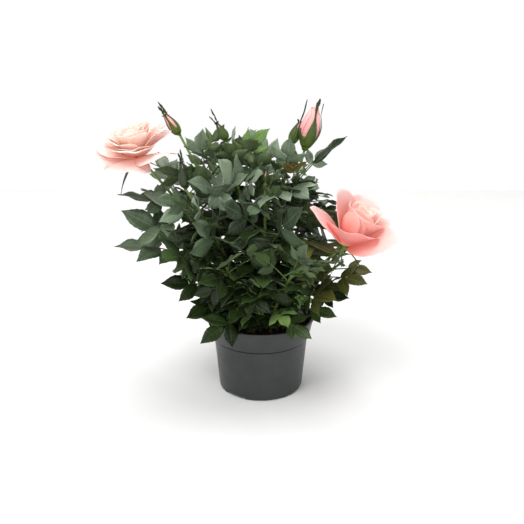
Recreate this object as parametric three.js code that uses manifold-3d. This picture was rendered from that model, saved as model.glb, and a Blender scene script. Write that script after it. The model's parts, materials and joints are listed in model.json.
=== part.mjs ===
// Miniature rose bush in a low nursery pot, in millimetres with +Z up.
// The origin is the middle of the pot's flat underside, and the bush shows its best side to -Y.

import * as THREE from 'three';
import { mergeVertices } from 'three/addons/utils/BufferGeometryUtils.js';
import Module from 'manifold-3d';

const wasm = await Module();
wasm.setup();

const CLEAR = 0.3; // gap left between two pieces that meet
const UP = new THREE.Vector3(0, 0, 1);
const bush = new THREE.Group();

const vector = (x, y, z) => new THREE.Vector3(x, y, z);
const radians = THREE.MathUtils.degToRad;

// ---------------------------------------------------------------- solids from three.js shapes

// A closed geometry as a solid that can be cut and joined.
function solidOf(geometry) {
  geometry.deleteAttribute('normal');
  geometry.deleteAttribute('uv');
  const merged = mergeVertices(geometry, 1e-4);
  const corners = [];
  const index = merged.index.array;
  for (let i = 0; i < index.length; i += 3) {
    const [a, b, c] = index.slice(i, i + 3);
    if (a !== b && b !== c && c !== a) corners.push(a, b, c);
  }
  return new wasm.Manifold(new wasm.Mesh({
    numProp: 3,
    vertProperties: merged.attributes.position.array,
    triVerts: Uint32Array.from(corners),
  }));
}

// All the solids fused into one, without any scrap that touches nothing.
function fused(solids) {
  const bodies = wasm.Manifold.union(solids).decompose();
  return bodies.reduce((a, b) => (b.volume() > a.volume() ? b : a));
}

function addPiece(name, solid, material) {
  const { numProp, numVert, vertProperties, triVerts } = solid.getMesh();
  const positions = new Float32Array(3 * numVert);
  for (let i = 0; i < numVert; i++) {
    positions.set(vertProperties.subarray(numProp * i, numProp * i + 3), 3 * i);
  }
  const geometry = new THREE.BufferGeometry();
  geometry.setAttribute('position', new THREE.BufferAttribute(positions, 3));
  geometry.setIndex(new THREE.BufferAttribute(triVerts, 1));
  geometry.computeVertexNormals();
  const mesh = new THREE.Mesh(geometry, material);
  mesh.name = name;
  bush.add(mesh);
}

// Moves every vertex of a geometry to where the rule puts it.
function reshape(geometry, rule) {
  const position = geometry.attributes.position;
  const point = new THREE.Vector3();
  for (let i = 0; i < position.count; i++) {
    point.fromBufferAttribute(position, i);
    rule(point);
    position.setXYZ(i, point.x, point.y, point.z);
  }
  return geometry;
}

// The same key always gives the same number from 0 to 1.
function chance(...key) {
  let hash = 2166136261;
  for (const part of [...key, 97]) {
    hash = Math.imul(hash ^ part, 16777619) >>> 0;
    hash = (hash ^ (hash >>> 13)) >>> 0;
  }
  return hash / 4294967296;
}
const jitter = (amount, ...key) => amount * (2 * chance(...key) - 1);

// ---------------------------------------------------------------- materials

const finish = (color, roughness) => new THREE.MeshStandardMaterial({ color, roughness, metalness: 0 });
const potPlastic = finish(0x4b4d4c, 0.55);
const pottingSoil = finish(0x2a1f17, 0.95);
const greenCane = finish(0x5d7a35, 0.5);
const foliage = finish(0x3d5a3c, 0.55);
const petalPink = finish(0xf6b6a2, 0.6);
const calyxGreen = finish(0x5d7c2c, 0.5);

// ---------------------------------------------------------------- pot and soil

const pot = {
  height: 74, rimRadius: 52.5, footRadius: 41.4,
  collarFrom: 53.5, collarRadius: 47.4, wallRadius: 46.4,
  wall: 1.4, floor: 4, lip: 1.0, sides: 36,
};
// Three arched gaps in the foot let water out, each with a drain hole through the floor above it.
const drain = { gaps: 3, firstAngle: -128, width: 25, height: 2.4, from: 26, holeAt: 33, holeRadius: 4 };
const soil = { top: 65, sides: 24 };

// A profile of [radius, height] points turned about Z.
function turned(profile, sides) {
  const points = profile.map(([radius, height]) => new THREE.Vector2(radius, height));
  return solidOf(new THREE.LatheGeometry(points, sides).rotateX(Math.PI / 2));
}

function makePot() {
  const inner = pot.wall / Math.cos(Math.PI / pot.sides);
  let shell = turned([
    [0, 0],
    [pot.footRadius - 0.8, 0],
    [pot.footRadius, 0.8],
    [pot.wallRadius, pot.collarFrom - 0.6],
    [pot.collarRadius, pot.collarFrom],
    [pot.rimRadius, pot.height - pot.lip],
    [pot.rimRadius - 0.4, pot.height],
    [pot.rimRadius - inner, pot.height],
    [pot.collarRadius - inner, pot.collarFrom + 1],
    [pot.wallRadius - inner, pot.collarFrom - 1],
    [pot.footRadius - inner, pot.floor],
    [0, pot.floor],
  ], pot.sides);
  for (let i = 0; i < drain.gaps; i++) {
    const turn = radians(drain.firstAngle + (360 / drain.gaps) * i);
    const arch = new THREE.CylinderGeometry(drain.width / 2, drain.width / 2, pot.footRadius, 12);
    arch.rotateZ(Math.PI / 2).scale(1, 1, (2 * drain.height) / drain.width);
    arch.translate(drain.from + pot.footRadius / 2, 0, 0).rotateZ(turn);
    const hole = new THREE.CylinderGeometry(drain.holeRadius, drain.holeRadius, 3 * pot.floor, 12);
    hole.rotateX(Math.PI / 2).translate(drain.holeAt, 0, 0).rotateZ(turn);
    shell = shell.subtract(solidOf(arch)).subtract(solidOf(hole));
  }
  return shell;
}

// Radius of the pot's bore at a height above the floor, less the gap that the soil keeps to it.
function soilRadius(height) {
  const share = (height - pot.floor) / (pot.collarFrom - pot.floor);
  const bore = pot.footRadius + share * (pot.wallRadius - pot.footRadius);
  return bore - pot.wall - 2 * CLEAR;
}

function makeSoil() {
  const low = pot.floor + CLEAR;
  const collar = pot.collarFrom - 1;
  const flare = (pot.rimRadius - pot.collarRadius) / (pot.height - pot.collarFrom);
  return turned([
    [0, low],
    [soilRadius(low), low],
    [soilRadius(collar), collar],
    [soilRadius(collar) + flare * (soil.top - collar) - CLEAR, soil.top],
    [0, soil.top],
  ], soil.sides);
}

// ---------------------------------------------------------------- shoots

// Each shoot rises from its own foot in the soil and leans out to its tip. Below the leafy part it is a
// bare cane, and past it a flower stalk. foot is [compass angle, radius], and leafy is two shares of the way.
const shoots = [
  { name: 'left_rose', foot: [215, 17], tip: [-110, -12, 231], leafy: [0.3, 0.86], leaves: 3 },
  { name: 'left_bud', foot: [150, 12], tip: [-74, 5, 248], leafy: [0.3, 0.88], leaves: 4 },
  { name: 'dark_bud', foot: [240, 22], tip: [-66, -38, 207], leafy: [0.24, 0.9], leaves: 3 },
  { name: 'top_bud', foot: [110, 6], tip: [-31, 0, 244], leafy: [0.3, 0.92], leaves: 4 },
  { name: 'middle_bud', foot: [285, 14], tip: [4, -32, 212], leafy: [0.24, 0.95], leaves: 3 },
  { name: 'right_bud', foot: [10, 12], tip: [40, 0, 235], leafy: [0.3, 0.9], leaves: 4 },
  { name: 'twin_bud', foot: [60, 13], tip: [28, 8, 239], leafy: [0.3, 0.88], leaves: 4 },
  { name: 'right_rose', foot: [325, 20], tip: [76, -38, 156], leafy: [0.2, 0.8], leaves: 3 },
  { name: 'left_low', foot: [190, 24], tip: [-64, -16, 138], leafy: [0.18, 1], leaves: 4 },
  { name: 'right_low', foot: [350, 24], tip: [80, 2, 128], leafy: [0.18, 1], leaves: 4 },
  { name: 'front_left', foot: [255, 27], tip: [-30, -56, 140], leafy: [0.16, 1], leaves: 3 },
  { name: 'front_right', foot: [290, 27], tip: [28, -58, 135], leafy: [0.16, 1], leaves: 3 },
  { name: 'back_left', foot: [130, 22], tip: [-58, 48, 205], leafy: [0.22, 1], leaves: 7 },
  { name: 'back', foot: [92, 24], tip: [-4, 56, 205], leafy: [0.22, 1], leaves: 7 },
  { name: 'back_right', foot: [45, 22], tip: [56, 44, 200], leafy: [0.22, 1], leaves: 7 },
  { name: 'back_low', foot: [70, 28], tip: [40, 62, 136], leafy: [0.18, 1], leaves: 7 },
  { name: 'back_low_left', foot: [140, 28], tip: [-56, 56, 136], leafy: [0.18, 1], leaves: 6 },
];
const stem = {
  footRadius: 1.9, tipRadius: 1.1, flare: 0.35, kneeShare: 0.32,
  sides: 5, caneSteps: 3, leafySteps: 5,
};

function shootPath(shoot) {
  const [angle, radius] = shoot.foot;
  const foot = vector(radius * Math.cos(radians(angle)), radius * Math.sin(radians(angle)), soil.top + CLEAR);
  const tip = vector(...shoot.tip);
  const knee = vector(foot.x, foot.y, foot.z + stem.kneeShare * (tip.z - foot.z));
  return new THREE.QuadraticBezierCurve3(foot, knee, tip);
}

const stemRadius = (share) =>
  stem.footRadius + (stem.tipRadius - stem.footRadius) * share + stem.flare * Math.exp(-30 * share);

// A tapering round limb along a stretch of a path: a cylinder bent to follow it.
function limb(path, from, to, radiusAt, sides, steps) {
  const rings = [];
  let side = null;
  for (let i = 0; i <= steps; i++) {
    const share = from + ((to - from) * i) / steps;
    const tangent = path.getTangent(share);
    const guess = side ?? (Math.abs(tangent.z) > 0.7 ? vector(1, 0, 0) : UP.clone());
    side = guess.clone().addScaledVector(tangent, -guess.dot(tangent)).normalize();
    const out = side.clone().cross(tangent);
    rings.push({ centre: path.getPoint(share), side, out, radius: radiusAt(share) });
  }
  return solidOf(reshape(new THREE.CylinderGeometry(1, 1, 1, sides, steps), (point) => {
    const ring = rings[Math.round((point.y + 0.5) * steps)];
    const [across, through] = [point.x * ring.radius, point.z * ring.radius];
    point.copy(ring.centre).addScaledVector(ring.side, across).addScaledVector(ring.out, through);
  }));
}

// ---------------------------------------------------------------- flowers

// Each flower sits on the tip of a shoot, and its axis leans as given. A rose's petals come in whorls, the
// outermost first, round a closed heart of [radius, height]. Angles are in degrees: turn places a whorl's first
// petal, from 0 at the right round by the back, open is a petal's lean from the axis at its foot, and curl is
// what its lean gains by its rim. The outer petals of the right-hand rose all differ.
const roses = [
  {
    name: 'rose_left', shoot: 'left_rose', axis: [-0.24, -0.3, 1], heart: [6, 19],
    whorls: [
      { petals: 5, turn: 20, lift: 0, open: 66, curl: 32, length: 37, width: 37, cup: 34, roll: 0.3 },
      { petals: 5, turn: 56, lift: 1.3, open: 50, curl: 14, length: 34, width: 33, cup: 24, roll: 0.15 },
      { petals: 3, turn: 10, lift: 2.6, open: 33, curl: 1, length: 28, width: 32, cup: 15, roll: 0 },
    ],
  },
  {
    name: 'rose_right', shoot: 'right_rose', axis: [0.46, -0.28, 1], heart: [9, 31],
    whorls: [
      { petals: 1, turn: 322, lift: 0, open: 60, curl: 30, length: 47, width: 36, cup: 30, roll: 0.4 },
      { petals: 1, turn: 262, lift: 0.6, open: 42, curl: 30, length: 36, width: 42, cup: 24, roll: 0.3 },
      { petals: 1, turn: 190, lift: 0, open: 52, curl: 12, length: 46, width: 30, cup: 22, roll: 0.6 },
      { petals: 1, turn: 118, lift: 0.6, open: 28, curl: 6, length: 47, width: 36, cup: 24, roll: 0.2 },
      { petals: 1, turn: 60, lift: 0, open: 26, curl: 8, length: 46, width: 38, cup: 24, roll: 0.2 },
      { petals: 1, turn: 8, lift: 0.6, open: 44, curl: 8, length: 42, width: 34, cup: 24, roll: 0.3 },
      { petals: 3, turn: 230, lift: 7.8, open: 21, curl: -8, length: 40, width: 34, cup: 15, roll: 0 },
    ],
  },
];
// A bud's length is to the tip of its petals, and sepal is how far its sepals reach.
const buds = [
  { name: 'bud_left', shoot: 'left_bud', axis: [-0.57, 0, 0.82], length: 25, width: 9.5, sepal: 35, turn: 20 },
  { name: 'bud_dark', shoot: 'dark_bud', axis: [-0.12, 0, 1], length: 23, width: 8, sepal: 34, turn: 50 },
  { name: 'bud_top', shoot: 'top_bud', axis: [-0.5, 0, 0.87], length: 17, width: 9, sepal: 28, turn: 30 },
  { name: 'bud_middle', shoot: 'middle_bud', axis: [0.1, -0.3, 1], length: 11, width: 6, sepal: 15, turn: 0 },
  { name: 'bud_right', shoot: 'right_bud', axis: [0.24, 0, 1], length: 43, width: 18.5, sepal: 48, turn: 250 },
  { name: 'bud_twin', shoot: 'twin_bud', axis: [0.36, 0, 0.93], length: 22, width: 9.5, sepal: 43, turn: 80 },
];
const hip = { radius: 3.6, stalkRadius: 1.1, height: 7, sides: 8 };
const petal = { thickness: 1, foot: 2.5, round: 0.26, tuck: 0.2, across: 2, along: 3, clear: 2.5 };
const sepal = { count: 5, width: 6.5, length: 26, thickness: 0.7, drop: 35, flare: 0.3, widestAt: 0.3 };

// A flower's own frame: its middle, its axis, and two directions across the axis.
function flowerFrame(origin, lean) {
  const axis = vector(...lean).normalize();
  const right = vector(1, 0, 0).addScaledVector(axis, -axis.x).normalize();
  return { origin, axis, right, back: axis.clone().cross(right) };
}

// The direction straight out from a flower's axis, and a point at a height on the axis and a distance out.
function outFrom(frame, turn) {
  const angle = radians(turn);
  return frame.right.clone().multiplyScalar(Math.cos(angle)).addScaledVector(frame.back, Math.sin(angle));
}
const spotOn = (frame, height, out, distance) =>
  frame.origin.clone().addScaledVector(frame.axis, height).addScaledVector(out, distance);

// A profile of [radius, height] points turned about a flower's axis.
function turnedOn(frame, profile) {
  const points = profile.map(([radius, height]) => new THREE.Vector2(radius, height));
  return solidOf(reshape(new THREE.LatheGeometry(points, hip.sides), (point) => {
    const { x, y, z } = point;
    point.copy(spotOn(frame, y, frame.right, z)).addScaledVector(frame.back, x);
  }));
}

// Places a point of a petal: u runs across it from -1 to 1, v up it from 0 to 1, and depth through it towards
// the axis. The petal curls evenly along its middle, is cupped about that line, lies tucked with one side under
// its neighbour, and rolls its upper corners back.
function petalSpot(frame, whorl, turn, u, v, depth) {
  const rim = v * (1 - petal.round * u * u);
  const half = (whorl.width / 2) * Math.sin(Math.PI * (0.04 + 0.64 * rim)) ** 0.8;
  const [open, bend] = [radians(whorl.open), radians(whorl.curl)];
  const lean = open + bend * rim;
  const radius = petal.foot + (whorl.length / bend) * (Math.cos(open) - Math.cos(lean));
  const height = whorl.lift + (whorl.length / bend) * (Math.sin(lean) - Math.sin(open));
  const around = (u * half) / whorl.cup;
  const cupped = whorl.cup * (1 - Math.cos(around));
  const rolled = whorl.roll * half * Math.abs(u) ** 2.5 * rim ** 2;
  const inward = depth + cupped - rolled + petal.tuck * u * half;
  const out = outFrom(frame, turn);
  return spotOn(frame, height + inward * Math.sin(lean), out, radius - inward * Math.cos(lean))
    .addScaledVector(out.cross(frame.axis), whorl.cup * Math.sin(around));
}

// Every petal of a rose, as [whorl, turn].
const petalsOf = (rose) => rose.whorls.flatMap((whorl) =>
  Array.from({ length: whorl.petals }, (_, i) => [whorl, whorl.turn + (360 / whorl.petals) * i]));

// Petals that don't roll are plain enough for one step less.
function petalSolid(frame, whorl, turn) {
  const along = whorl.roll ? petal.along : petal.along - 1;
  const slab = new THREE.BoxGeometry(2, 1, petal.thickness, petal.across, along, 1);
  return solidOf(reshape(slab, (point) => {
    point.copy(petalSpot(frame, whorl, turn, point.x, point.y + 0.5, point.z));
  }));
}

// A sliver of eight faces from its root to its tip, flat one way and widest at a share of its length.
function sliver(root, tip, across, width, thickness, widestAt) {
  const axis = tip.clone().sub(root);
  const side = across.clone().addScaledVector(axis, -across.dot(axis) / axis.lengthSq()).normalize();
  const normal = side.clone().cross(axis).normalize();
  return solidOf(reshape(new THREE.OctahedronGeometry(1), (point) => {
    const { x, y, z } = point;
    const share = (y + 1) / 2 - (0.5 - widestAt) * (1 - Math.abs(y));
    point.copy(root).addScaledVector(axis, share).addScaledVector(normal, (z * thickness) / 2)
      .addScaledVector(side, (x * width) / 2);
  }));
}

// A rose's sepals hang below its petals, each as its root, its tip and the direction across it.
function roseSepals(rose, frame) {
  const drop = radians(sepal.drop);
  return Array.from({ length: sepal.count }, (_, i) => {
    const out = outFrom(frame, rose.whorls[0].turn + (360 / sepal.count) * (i + 0.5));
    const root = spotOn(frame, -0.3 * hip.height, out, hip.radius / 2);
    const tip = root.clone().addScaledVector(out, sepal.length * Math.cos(drop))
      .addScaledVector(frame.axis, -sepal.length * Math.sin(drop));
    return { root, tip, across: out.clone().cross(frame.axis) };
  });
}

// The green hip under the petals, the heart that closes the flower, the petals and the sepals.
function roseSolids(rose, frame) {
  const [radius, height] = rose.heart;
  const foot = hip.radius + 0.8;
  return [
    turnedOn(frame, [[0, -hip.height], [hip.stalkRadius, -hip.height], [hip.radius, -hip.height / 3],
      [hip.radius, 0.5], [0, 0.5]]),
    turnedOn(frame, [[0, -1], [hip.radius - 0.4, -1], [foot, 0.15 * height], [radius, height / 2],
      [0.75 * radius, 0.9 * height], [0, height]]),
    ...petalsOf(rose).map(([whorl, turn]) => petalSolid(frame, whorl, turn)),
    ...roseSepals(rose, frame).map(({ root, tip, across }) =>
      sliver(root, tip, across, sepal.width, sepal.thickness, sepal.widestAt)),
  ];
}

// Points on a rose, with the distance that leaves keep from them.
function rosePoints(rose, frame) {
  const shares = [0.15, 0.3, 0.45, 0.6, 0.75, 0.9, 1];
  const spans = [-1, -0.6, -0.2, 0.2, 0.6, 1];
  const onPetals = petalsOf(rose).flatMap(([whorl, turn]) =>
    shares.flatMap((v) => spans.map((u) => petalSpot(frame, whorl, turn, u, v, 0))));
  const onSepals = roseSepals(rose, frame).flatMap(({ root, tip }) =>
    shares.map((share) => root.clone().lerp(tip, share)));
  return [...onPetals, ...onSepals].map((point) => ({ point, radius: petal.clear }));
}

// Radius of a closed bud at a height: a narrow hip swells into the petals and draws in to their tip.
function budRadius(bud, height) {
  const share = Math.min(Math.max(height / bud.length, 0), 1);
  return (bud.width / 2) * (0.3 + 0.7 * Math.sin(Math.PI * share ** 0.8)) * (1 - 0.35 * share);
}

// A bud's sepals lie close to it as far as its shoulder, and their tips stand out past it.
function budSepal(bud, frame, turn) {
  const out = outFrom(frame, turn);
  const foot = 0.4 * bud.length;
  const root = spotOn(frame, foot, out, 0.75 * budRadius(bud, foot));
  const tip = spotOn(frame, bud.sepal, out, sepal.flare * bud.width);
  return sliver(root, tip, out.clone().cross(frame.axis), 0.4 * bud.width, sepal.thickness, sepal.widestAt);
}

function budSolids(bud, frame) {
  const heights = [0, 0.2, 0.42, 0.7, 1].map((share) => share * bud.length);
  const profile = heights.map((height) => [budRadius(bud, height), height]);
  const turns = Array.from({ length: sepal.count }, (_, i) => bud.turn + (360 / sepal.count) * i);
  return [
    turnedOn(frame, [[0, -1], ...profile, [0, bud.length]]),
    ...turns.map((turn) => budSepal(bud, frame, turn)),
  ];
}

function budPoints(bud, frame) {
  const count = Math.ceil(bud.sepal / petal.clear);
  return Array.from({ length: count + 1 }, (_, i) => {
    const height = (bud.sepal * i) / count;
    const flare = (sepal.flare * bud.width * i) / count;
    return {
      point: spotOn(frame, height, frame.right, 0),
      radius: Math.max(budRadius(bud, height), flare) + 2 * sepal.thickness,
    };
  });
}

// ---------------------------------------------------------------- leaves

// A rose leaf is an arched stalk with one leaflet at its end and one or two pairs below it. Its reach runs
// from the stem to the tip of the end leaflet. A pair is [share of the reach, size, spread in degrees].
const leaf = {
  reach: 92, spare: 16, least: 42, arch: 0.1, steps: 2, stalkEnd: 0.54, stalkRadius: 0.9, stalkTaper: 0.55,
  pairs: [[0.43, 0.86, 52], [0.27, 0.7, 64]], stagger: 0.012,
  width: 0.6, fold: 0.2, sag: 0.12, widestAt: 0.42, thickness: 0.9, sunk: 0.15,
};
// How far leaves keep from each other, and the grid of points that tests it.
const gap = { blade: 1.0, stalk: 1.4, along: 14, across: [-1, -0.5, 0, 0.5, 1] };

function makeLeaflet(base, axis, face, length) {
  const normal = face.clone().addScaledVector(axis, -face.dot(axis)).normalize();
  const side = axis.clone().cross(normal);
  return { base, axis, normal, side, length, halfWidth: (leaf.width * length) / 2 };
}

// A point of a stalk, which is drawn as a few straight steps along its curve.
function stalkPoint(stalk, share) {
  const step = leaf.stalkEnd / leaf.steps;
  const from = Math.min(Math.floor(share / step), leaf.steps - 1);
  return stalk.getPoint(from * step).lerp(stalk.getPoint((from + 1) * step), share / step - from);
}

function makeLeaf(start, tip, face, pairs, key) {
  const knee = start.clone().lerp(tip, 0.5).addScaledVector(UP, leaf.arch * start.distanceTo(tip));
  const stalk = new THREE.QuadraticBezierCurve3(start, knee, tip);
  const end = stalkPoint(stalk, leaf.stalkEnd);
  const endLength = end.distanceTo(tip);
  const leaflets = [makeLeaflet(end, tip.clone().sub(end).normalize(), face, endLength)];
  leaf.pairs.slice(0, pairs).forEach(([share, size, spread], pair) => [-1, 1].forEach((hand) => {
    const [turnKey, sagKey, sizeKey] = [1, 2, 3].map((last) => [key, pair, hand + 1, last]);
    const tangent = stalk.getTangent(share);
    const normal = face.clone().addScaledVector(tangent, -face.dot(tangent)).normalize();
    const out = tangent.clone().cross(normal).multiplyScalar(hand);
    const angle = radians(spread + jitter(9, ...turnKey));
    const axis = tangent.clone().multiplyScalar(Math.cos(angle)).addScaledVector(out, Math.sin(angle))
      .addScaledVector(normal, -leaf.sag + jitter(0.14, ...sagKey)).normalize();
    const base = stalkPoint(stalk, share + hand * leaf.stagger);
    const length = endLength * size * (1 + jitter(0.1, ...sizeKey));
    leaflets.push(makeLeaflet(base, axis, normal.addScaledVector(out, 0.15), length));
  }));
  return { stalk, leaflets };
}

// Half the blade's width at a share of its length, as a share of its widest.
const bladeWidth = (share) => Math.sin(Math.PI * Math.min(Math.max(share, 0), 1) ** 0.87);

function bladePoint(leaflet, share, hand) {
  const across = hand * bladeWidth(share) * leaflet.halfWidth;
  return leaflet.base.clone().addScaledVector(leaflet.axis, share * leaflet.length)
    .addScaledVector(leaflet.side, across).addScaledVector(leaflet.normal, leaf.fold * Math.abs(across));
}

function inBlade(point, leaflet, distance) {
  const offset = point.clone().sub(leaflet.base);
  const along = offset.dot(leaflet.axis);
  if (along < -distance || along > leaflet.length + distance) return false;
  const across = Math.abs(offset.dot(leaflet.side));
  if (across > bladeWidth(along / leaflet.length) * leaflet.halfWidth + distance) return false;
  return Math.abs(offset.dot(leaflet.normal) - leaf.fold * across) < distance;
}

// What is in place so far: blades, points on them, and points on all else with the radius that they keep clear.
const placed = { blades: [], bladePoints: [], limbPoints: [] };

function limbPointsOf(path, from, to, radiusAt) {
  const count = Math.ceil((path.getLength() * (to - from)) / petal.clear);
  return Array.from({ length: count + 1 }, (_, i) => {
    const share = from + ((to - from) * i) / count;
    return { point: path.getPoint(share), radius: radiusAt(share) };
  });
}

function bladePointsOf(leaflets) {
  const shares = Array.from({ length: gap.along }, (_, i) => (i + 1) / gap.along);
  return leaflets.flatMap((one) =>
    shares.flatMap((share) => gap.across.map((hand) => bladePoint(one, share, hand))));
}

// Rings of points on the pot's collar, so that leaves hang clear of it.
function collarPoints() {
  const heights = [pot.height - 1, pot.height - 7, pot.height - 13];
  const slope = (pot.rimRadius - pot.collarRadius) / (pot.height - pot.collarFrom);
  const count = 96;
  return heights.flatMap((height) => Array.from({ length: count }, (_, i) => {
    const turn = (2 * Math.PI * i) / count;
    const radius = pot.rimRadius - pot.wall / 2 - slope * (pot.height - height);
    return { point: vector(radius * Math.cos(turn), radius * Math.sin(turn), height), radius: pot.wall };
  }));
}

const touches = (mine, theirs) =>
  mine.point.distanceTo(theirs.point) < mine.radius + theirs.radius + gap.blade;
const inPot = (point) => point.z < soil.top + gap.stalk && Math.hypot(point.x, point.y) < pot.rimRadius;

// A leaf that is clear of everything else takes its place.
function isClear({ stalk, leaflets }) {
  const stalkPoints = limbPointsOf(stalk, 0.02, leaf.stalkEnd, () => leaf.stalkRadius);
  const pastStem = stalkPoints.filter(({ point }) => point.distanceTo(stalk.v0) > 5);
  const points = bladePointsOf(leaflets);
  const bladeMeets = (one) => placed.bladePoints.some((point) => inBlade(point, one, gap.blade))
    || placed.limbPoints.some(({ point, radius }) => inBlade(point, one, radius + gap.blade));
  const meetsBlade = (one) => points.some((point) => inBlade(point, one, gap.blade))
    || stalkPoints.some(({ point }) => inBlade(point, one, gap.stalk));
  const stalkMeets = (mine) => placed.limbPoints.some((theirs) => touches(mine, theirs));
  const blocked = points.some(inPot) || leaflets.some(bladeMeets) || placed.blades.some(meetsBlade)
    || pastStem.some(stalkMeets);
  if (blocked) return false;
  placed.blades.push(...leaflets);
  placed.bladePoints.push(...points);
  placed.limbPoints.push(...stalkPoints);
  return true;
}

// The crown is a goblet: narrow over the pot's rim, widest at mid height, and domed on top, where it leans left.
const crown = {
  low: 70, heart: 150, widestAt: 160, top: 262, lowRadius: 58, radius: 118, depth: 0.92, middle: -8,
  leaningFrom: 140, leaningTo: 200, leans: -0.4,
};

function inCrown(point) {
  if (point.z < crown.low || point.z > crown.top) return false;
  const below = (point.z - crown.low) / (crown.widestAt - crown.low);
  const above = (point.z - crown.widestAt) / (crown.top - crown.widestAt);
  const reach = above < 0
    ? crown.lowRadius + (crown.radius - crown.lowRadius) * below ** 1.8
    : crown.radius * Math.sqrt(1 - above ** 1.3);
  const leaning = Math.min(Math.max(point.z, crown.leaningFrom), crown.leaningTo) - crown.leaningFrom;
  return Math.hypot(point.x - crown.middle - crown.leans * leaning, point.y / crown.depth) < reach;
}

// Leaves that set the outline and the front: [shoot, share of the way up, tip of the end leaflet, pairs, face].
const toFront = [0, -0.8, 0.6];
const outlineLeaves = [
  ['right_bud', 0.62, [76, -12, 250], 0, [0.4, -0.2, 0.35]],
  ['left_low', 0.99, [-135, -22, 152], 2, [-0.1, -0.9, 0.45]],
  ['left_low', 0.88, [-124, -30, 186], 1, toFront],
  ['left_rose', 0.6, [-126, -34, 202], 1, [0, -0.3, 1]],
  ['dark_bud', 0.6, [-55, -84, 188], 1, toFront],
  ['dark_bud', 0.76, [-88, -62, 204], 1, toFront],
  ['top_bud', 0.72, [-62, -46, 216], 2, toFront],
  ['middle_bud', 0.72, [-33, -64, 200], 2, toFront],
  ['top_bud', 0.84, [2, -46, 222], 2, toFront],
  ['back_left', 0.97, [-54, 4, 252], 2, toFront],
  ['twin_bud', 0.72, [-9, 2, 254], 2, toFront],
  ['right_bud', 0.7, [64, 6, 236], 1, toFront],
  ['middle_bud', 0.88, [-9, -76, 193], 2, toFront],
  ['middle_bud', 0.6, [34, -72, 198], 1, toFront],
  ['front_right', 0.82, [38, -80, 168], 1, toFront],
  ['front_right', 0.9, [-6, -76, 160], 1, toFront],
  ['front_right', 0.98, [30, -96, 150], 1, toFront],
  ['left_low', 0.6, [-92, -30, 117], 1, toFront],
  ['front_left', 0.4, [-54, -66, 72], 1, toFront],
  ['front_left', 0.75, [9, -70, 102], 1, toFront],
  ['front_left', 0.6, [-26, -76, 96], 1, toFront],
  ['front_right', 0.5, [24, -76, 92], 2, toFront],
  ['front_right', 0.3, [46, -60, 74], 1, toFront],
  ['middle_bud', 0.5, [2, -84, 134], 1, toFront],
  ['dark_bud', 0.45, [-52, -76, 134], 1, toFront],
  ['right_low', 0.35, [72, -26, 82], 1, toFront],
  ['right_low', 0.7, [72, -42, 114], 2, toFront],
  ['right_low', 0.9, [104, -20, 124], 1, toFront],
  ['left_rose', 0.78, [-118, 14, 190], 1, toFront],
  ['left_rose', 0.82, [-98, 26, 230], 1, toFront],
  ['top_bud', 0.9, [8, -12, 256], 1, toFront],
  ['top_bud', 0.6, [-34, -58, 236], 1, toFront],
  ['twin_bud', 0.84, [26, -26, 250], 1, toFront],
];

// A leaf that is in the way of another slides along its stem until it finds room.
const slide = 0.02;
function outlineLeaf(path, [, share, tip, pairs, face], number, attempt) {
  const shift = slide * (attempt % 2 ? 1 : -1) * Math.ceil(attempt / 2);
  const start = path.getPoint(Math.min(share + shift, 0.99));
  return makeLeaf(start, vector(...tip), vector(...face), pairs, 1000 + number);
}

// How the other leaves grow, by rule: left and right of the way out by turns, hanging near the crown's foot and
// rising near its top, and facing the light outside. Angles are in degrees, and later attempts swing wider.
const habit = {
  swing: 8, swingSpan: 80, wider: 2, droop: -24, lift: 74, sway: 16,
  shrink: 0.015, tries: 24, twoPairs: 0.3,
};

function ruledLeaf(shoot, path, index, number, attempt) {
  const key = [index, number, attempt];
  const [from, to] = shoot.leafy;
  const share = from + ((to - from) * (number + 0.5 + jitter(0.35, ...key, 7))) / shoot.leaves;
  const start = path.getPoint(share);
  const outward = vector((start.x - crown.middle) / crown.radius, start.y / (crown.depth * crown.radius),
    (start.z - crown.heart) / (crown.top - crown.heart)).normalize();
  const swing = habit.swing + (habit.swingSpan + habit.wider * attempt) * chance(...key, 1);
  const heading = Math.atan2(outward.y, outward.x) + radians(number % 2 ? swing : -swing);
  const height = (start.z - crown.low) / (crown.top - crown.low);
  const rise = radians(habit.droop + habit.lift * height + jitter(habit.sway, ...key, 2));
  const way = vector(Math.cos(heading) * Math.cos(rise), Math.sin(heading) * Math.cos(rise), Math.sin(rise));
  let reach = (leaf.reach - leaf.spare * chance(index, number, 3)) * (1 - habit.shrink * attempt);
  while (reach > leaf.least && !inCrown(start.clone().addScaledVector(way, reach))) reach -= 3;
  if (reach < leaf.least) return null;
  const face = outward.clone().addScaledVector(UP, 0.55)
    .add(vector(jitter(0.3, ...key, 4), jitter(0.3, ...key, 5), 0));
  const pairs = chance(index, number, 6) < habit.twoPairs ? 2 : 1;
  return makeLeaf(start, start.clone().addScaledVector(way, reach), face, pairs, 40 * index + number);
}

const foliageOf = new Map(shoots.map((shoot) => [shoot.name, []]));

function growLeaf(name, make) {
  for (let attempt = 0; attempt < habit.tries; attempt++) {
    const made = make(attempt);
    if (!made || !isClear(made)) continue;
    foliageOf.get(name).push(made);
    return;
  }
}

function growLeaves(paths) {
  outlineLeaves.forEach((plan, number) => {
    const path = paths.get(plan[0]);
    growLeaf(plan[0], (attempt) => outlineLeaf(path, plan, number, attempt));
  });
  shoots.forEach((shoot, index) => {
    const path = paths.get(shoot.name);
    for (let number = 0; number < shoot.leaves; number++) {
      growLeaf(shoot.name, (attempt) => ruledLeaf(shoot, path, index, number, attempt));
    }
  });
}

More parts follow.
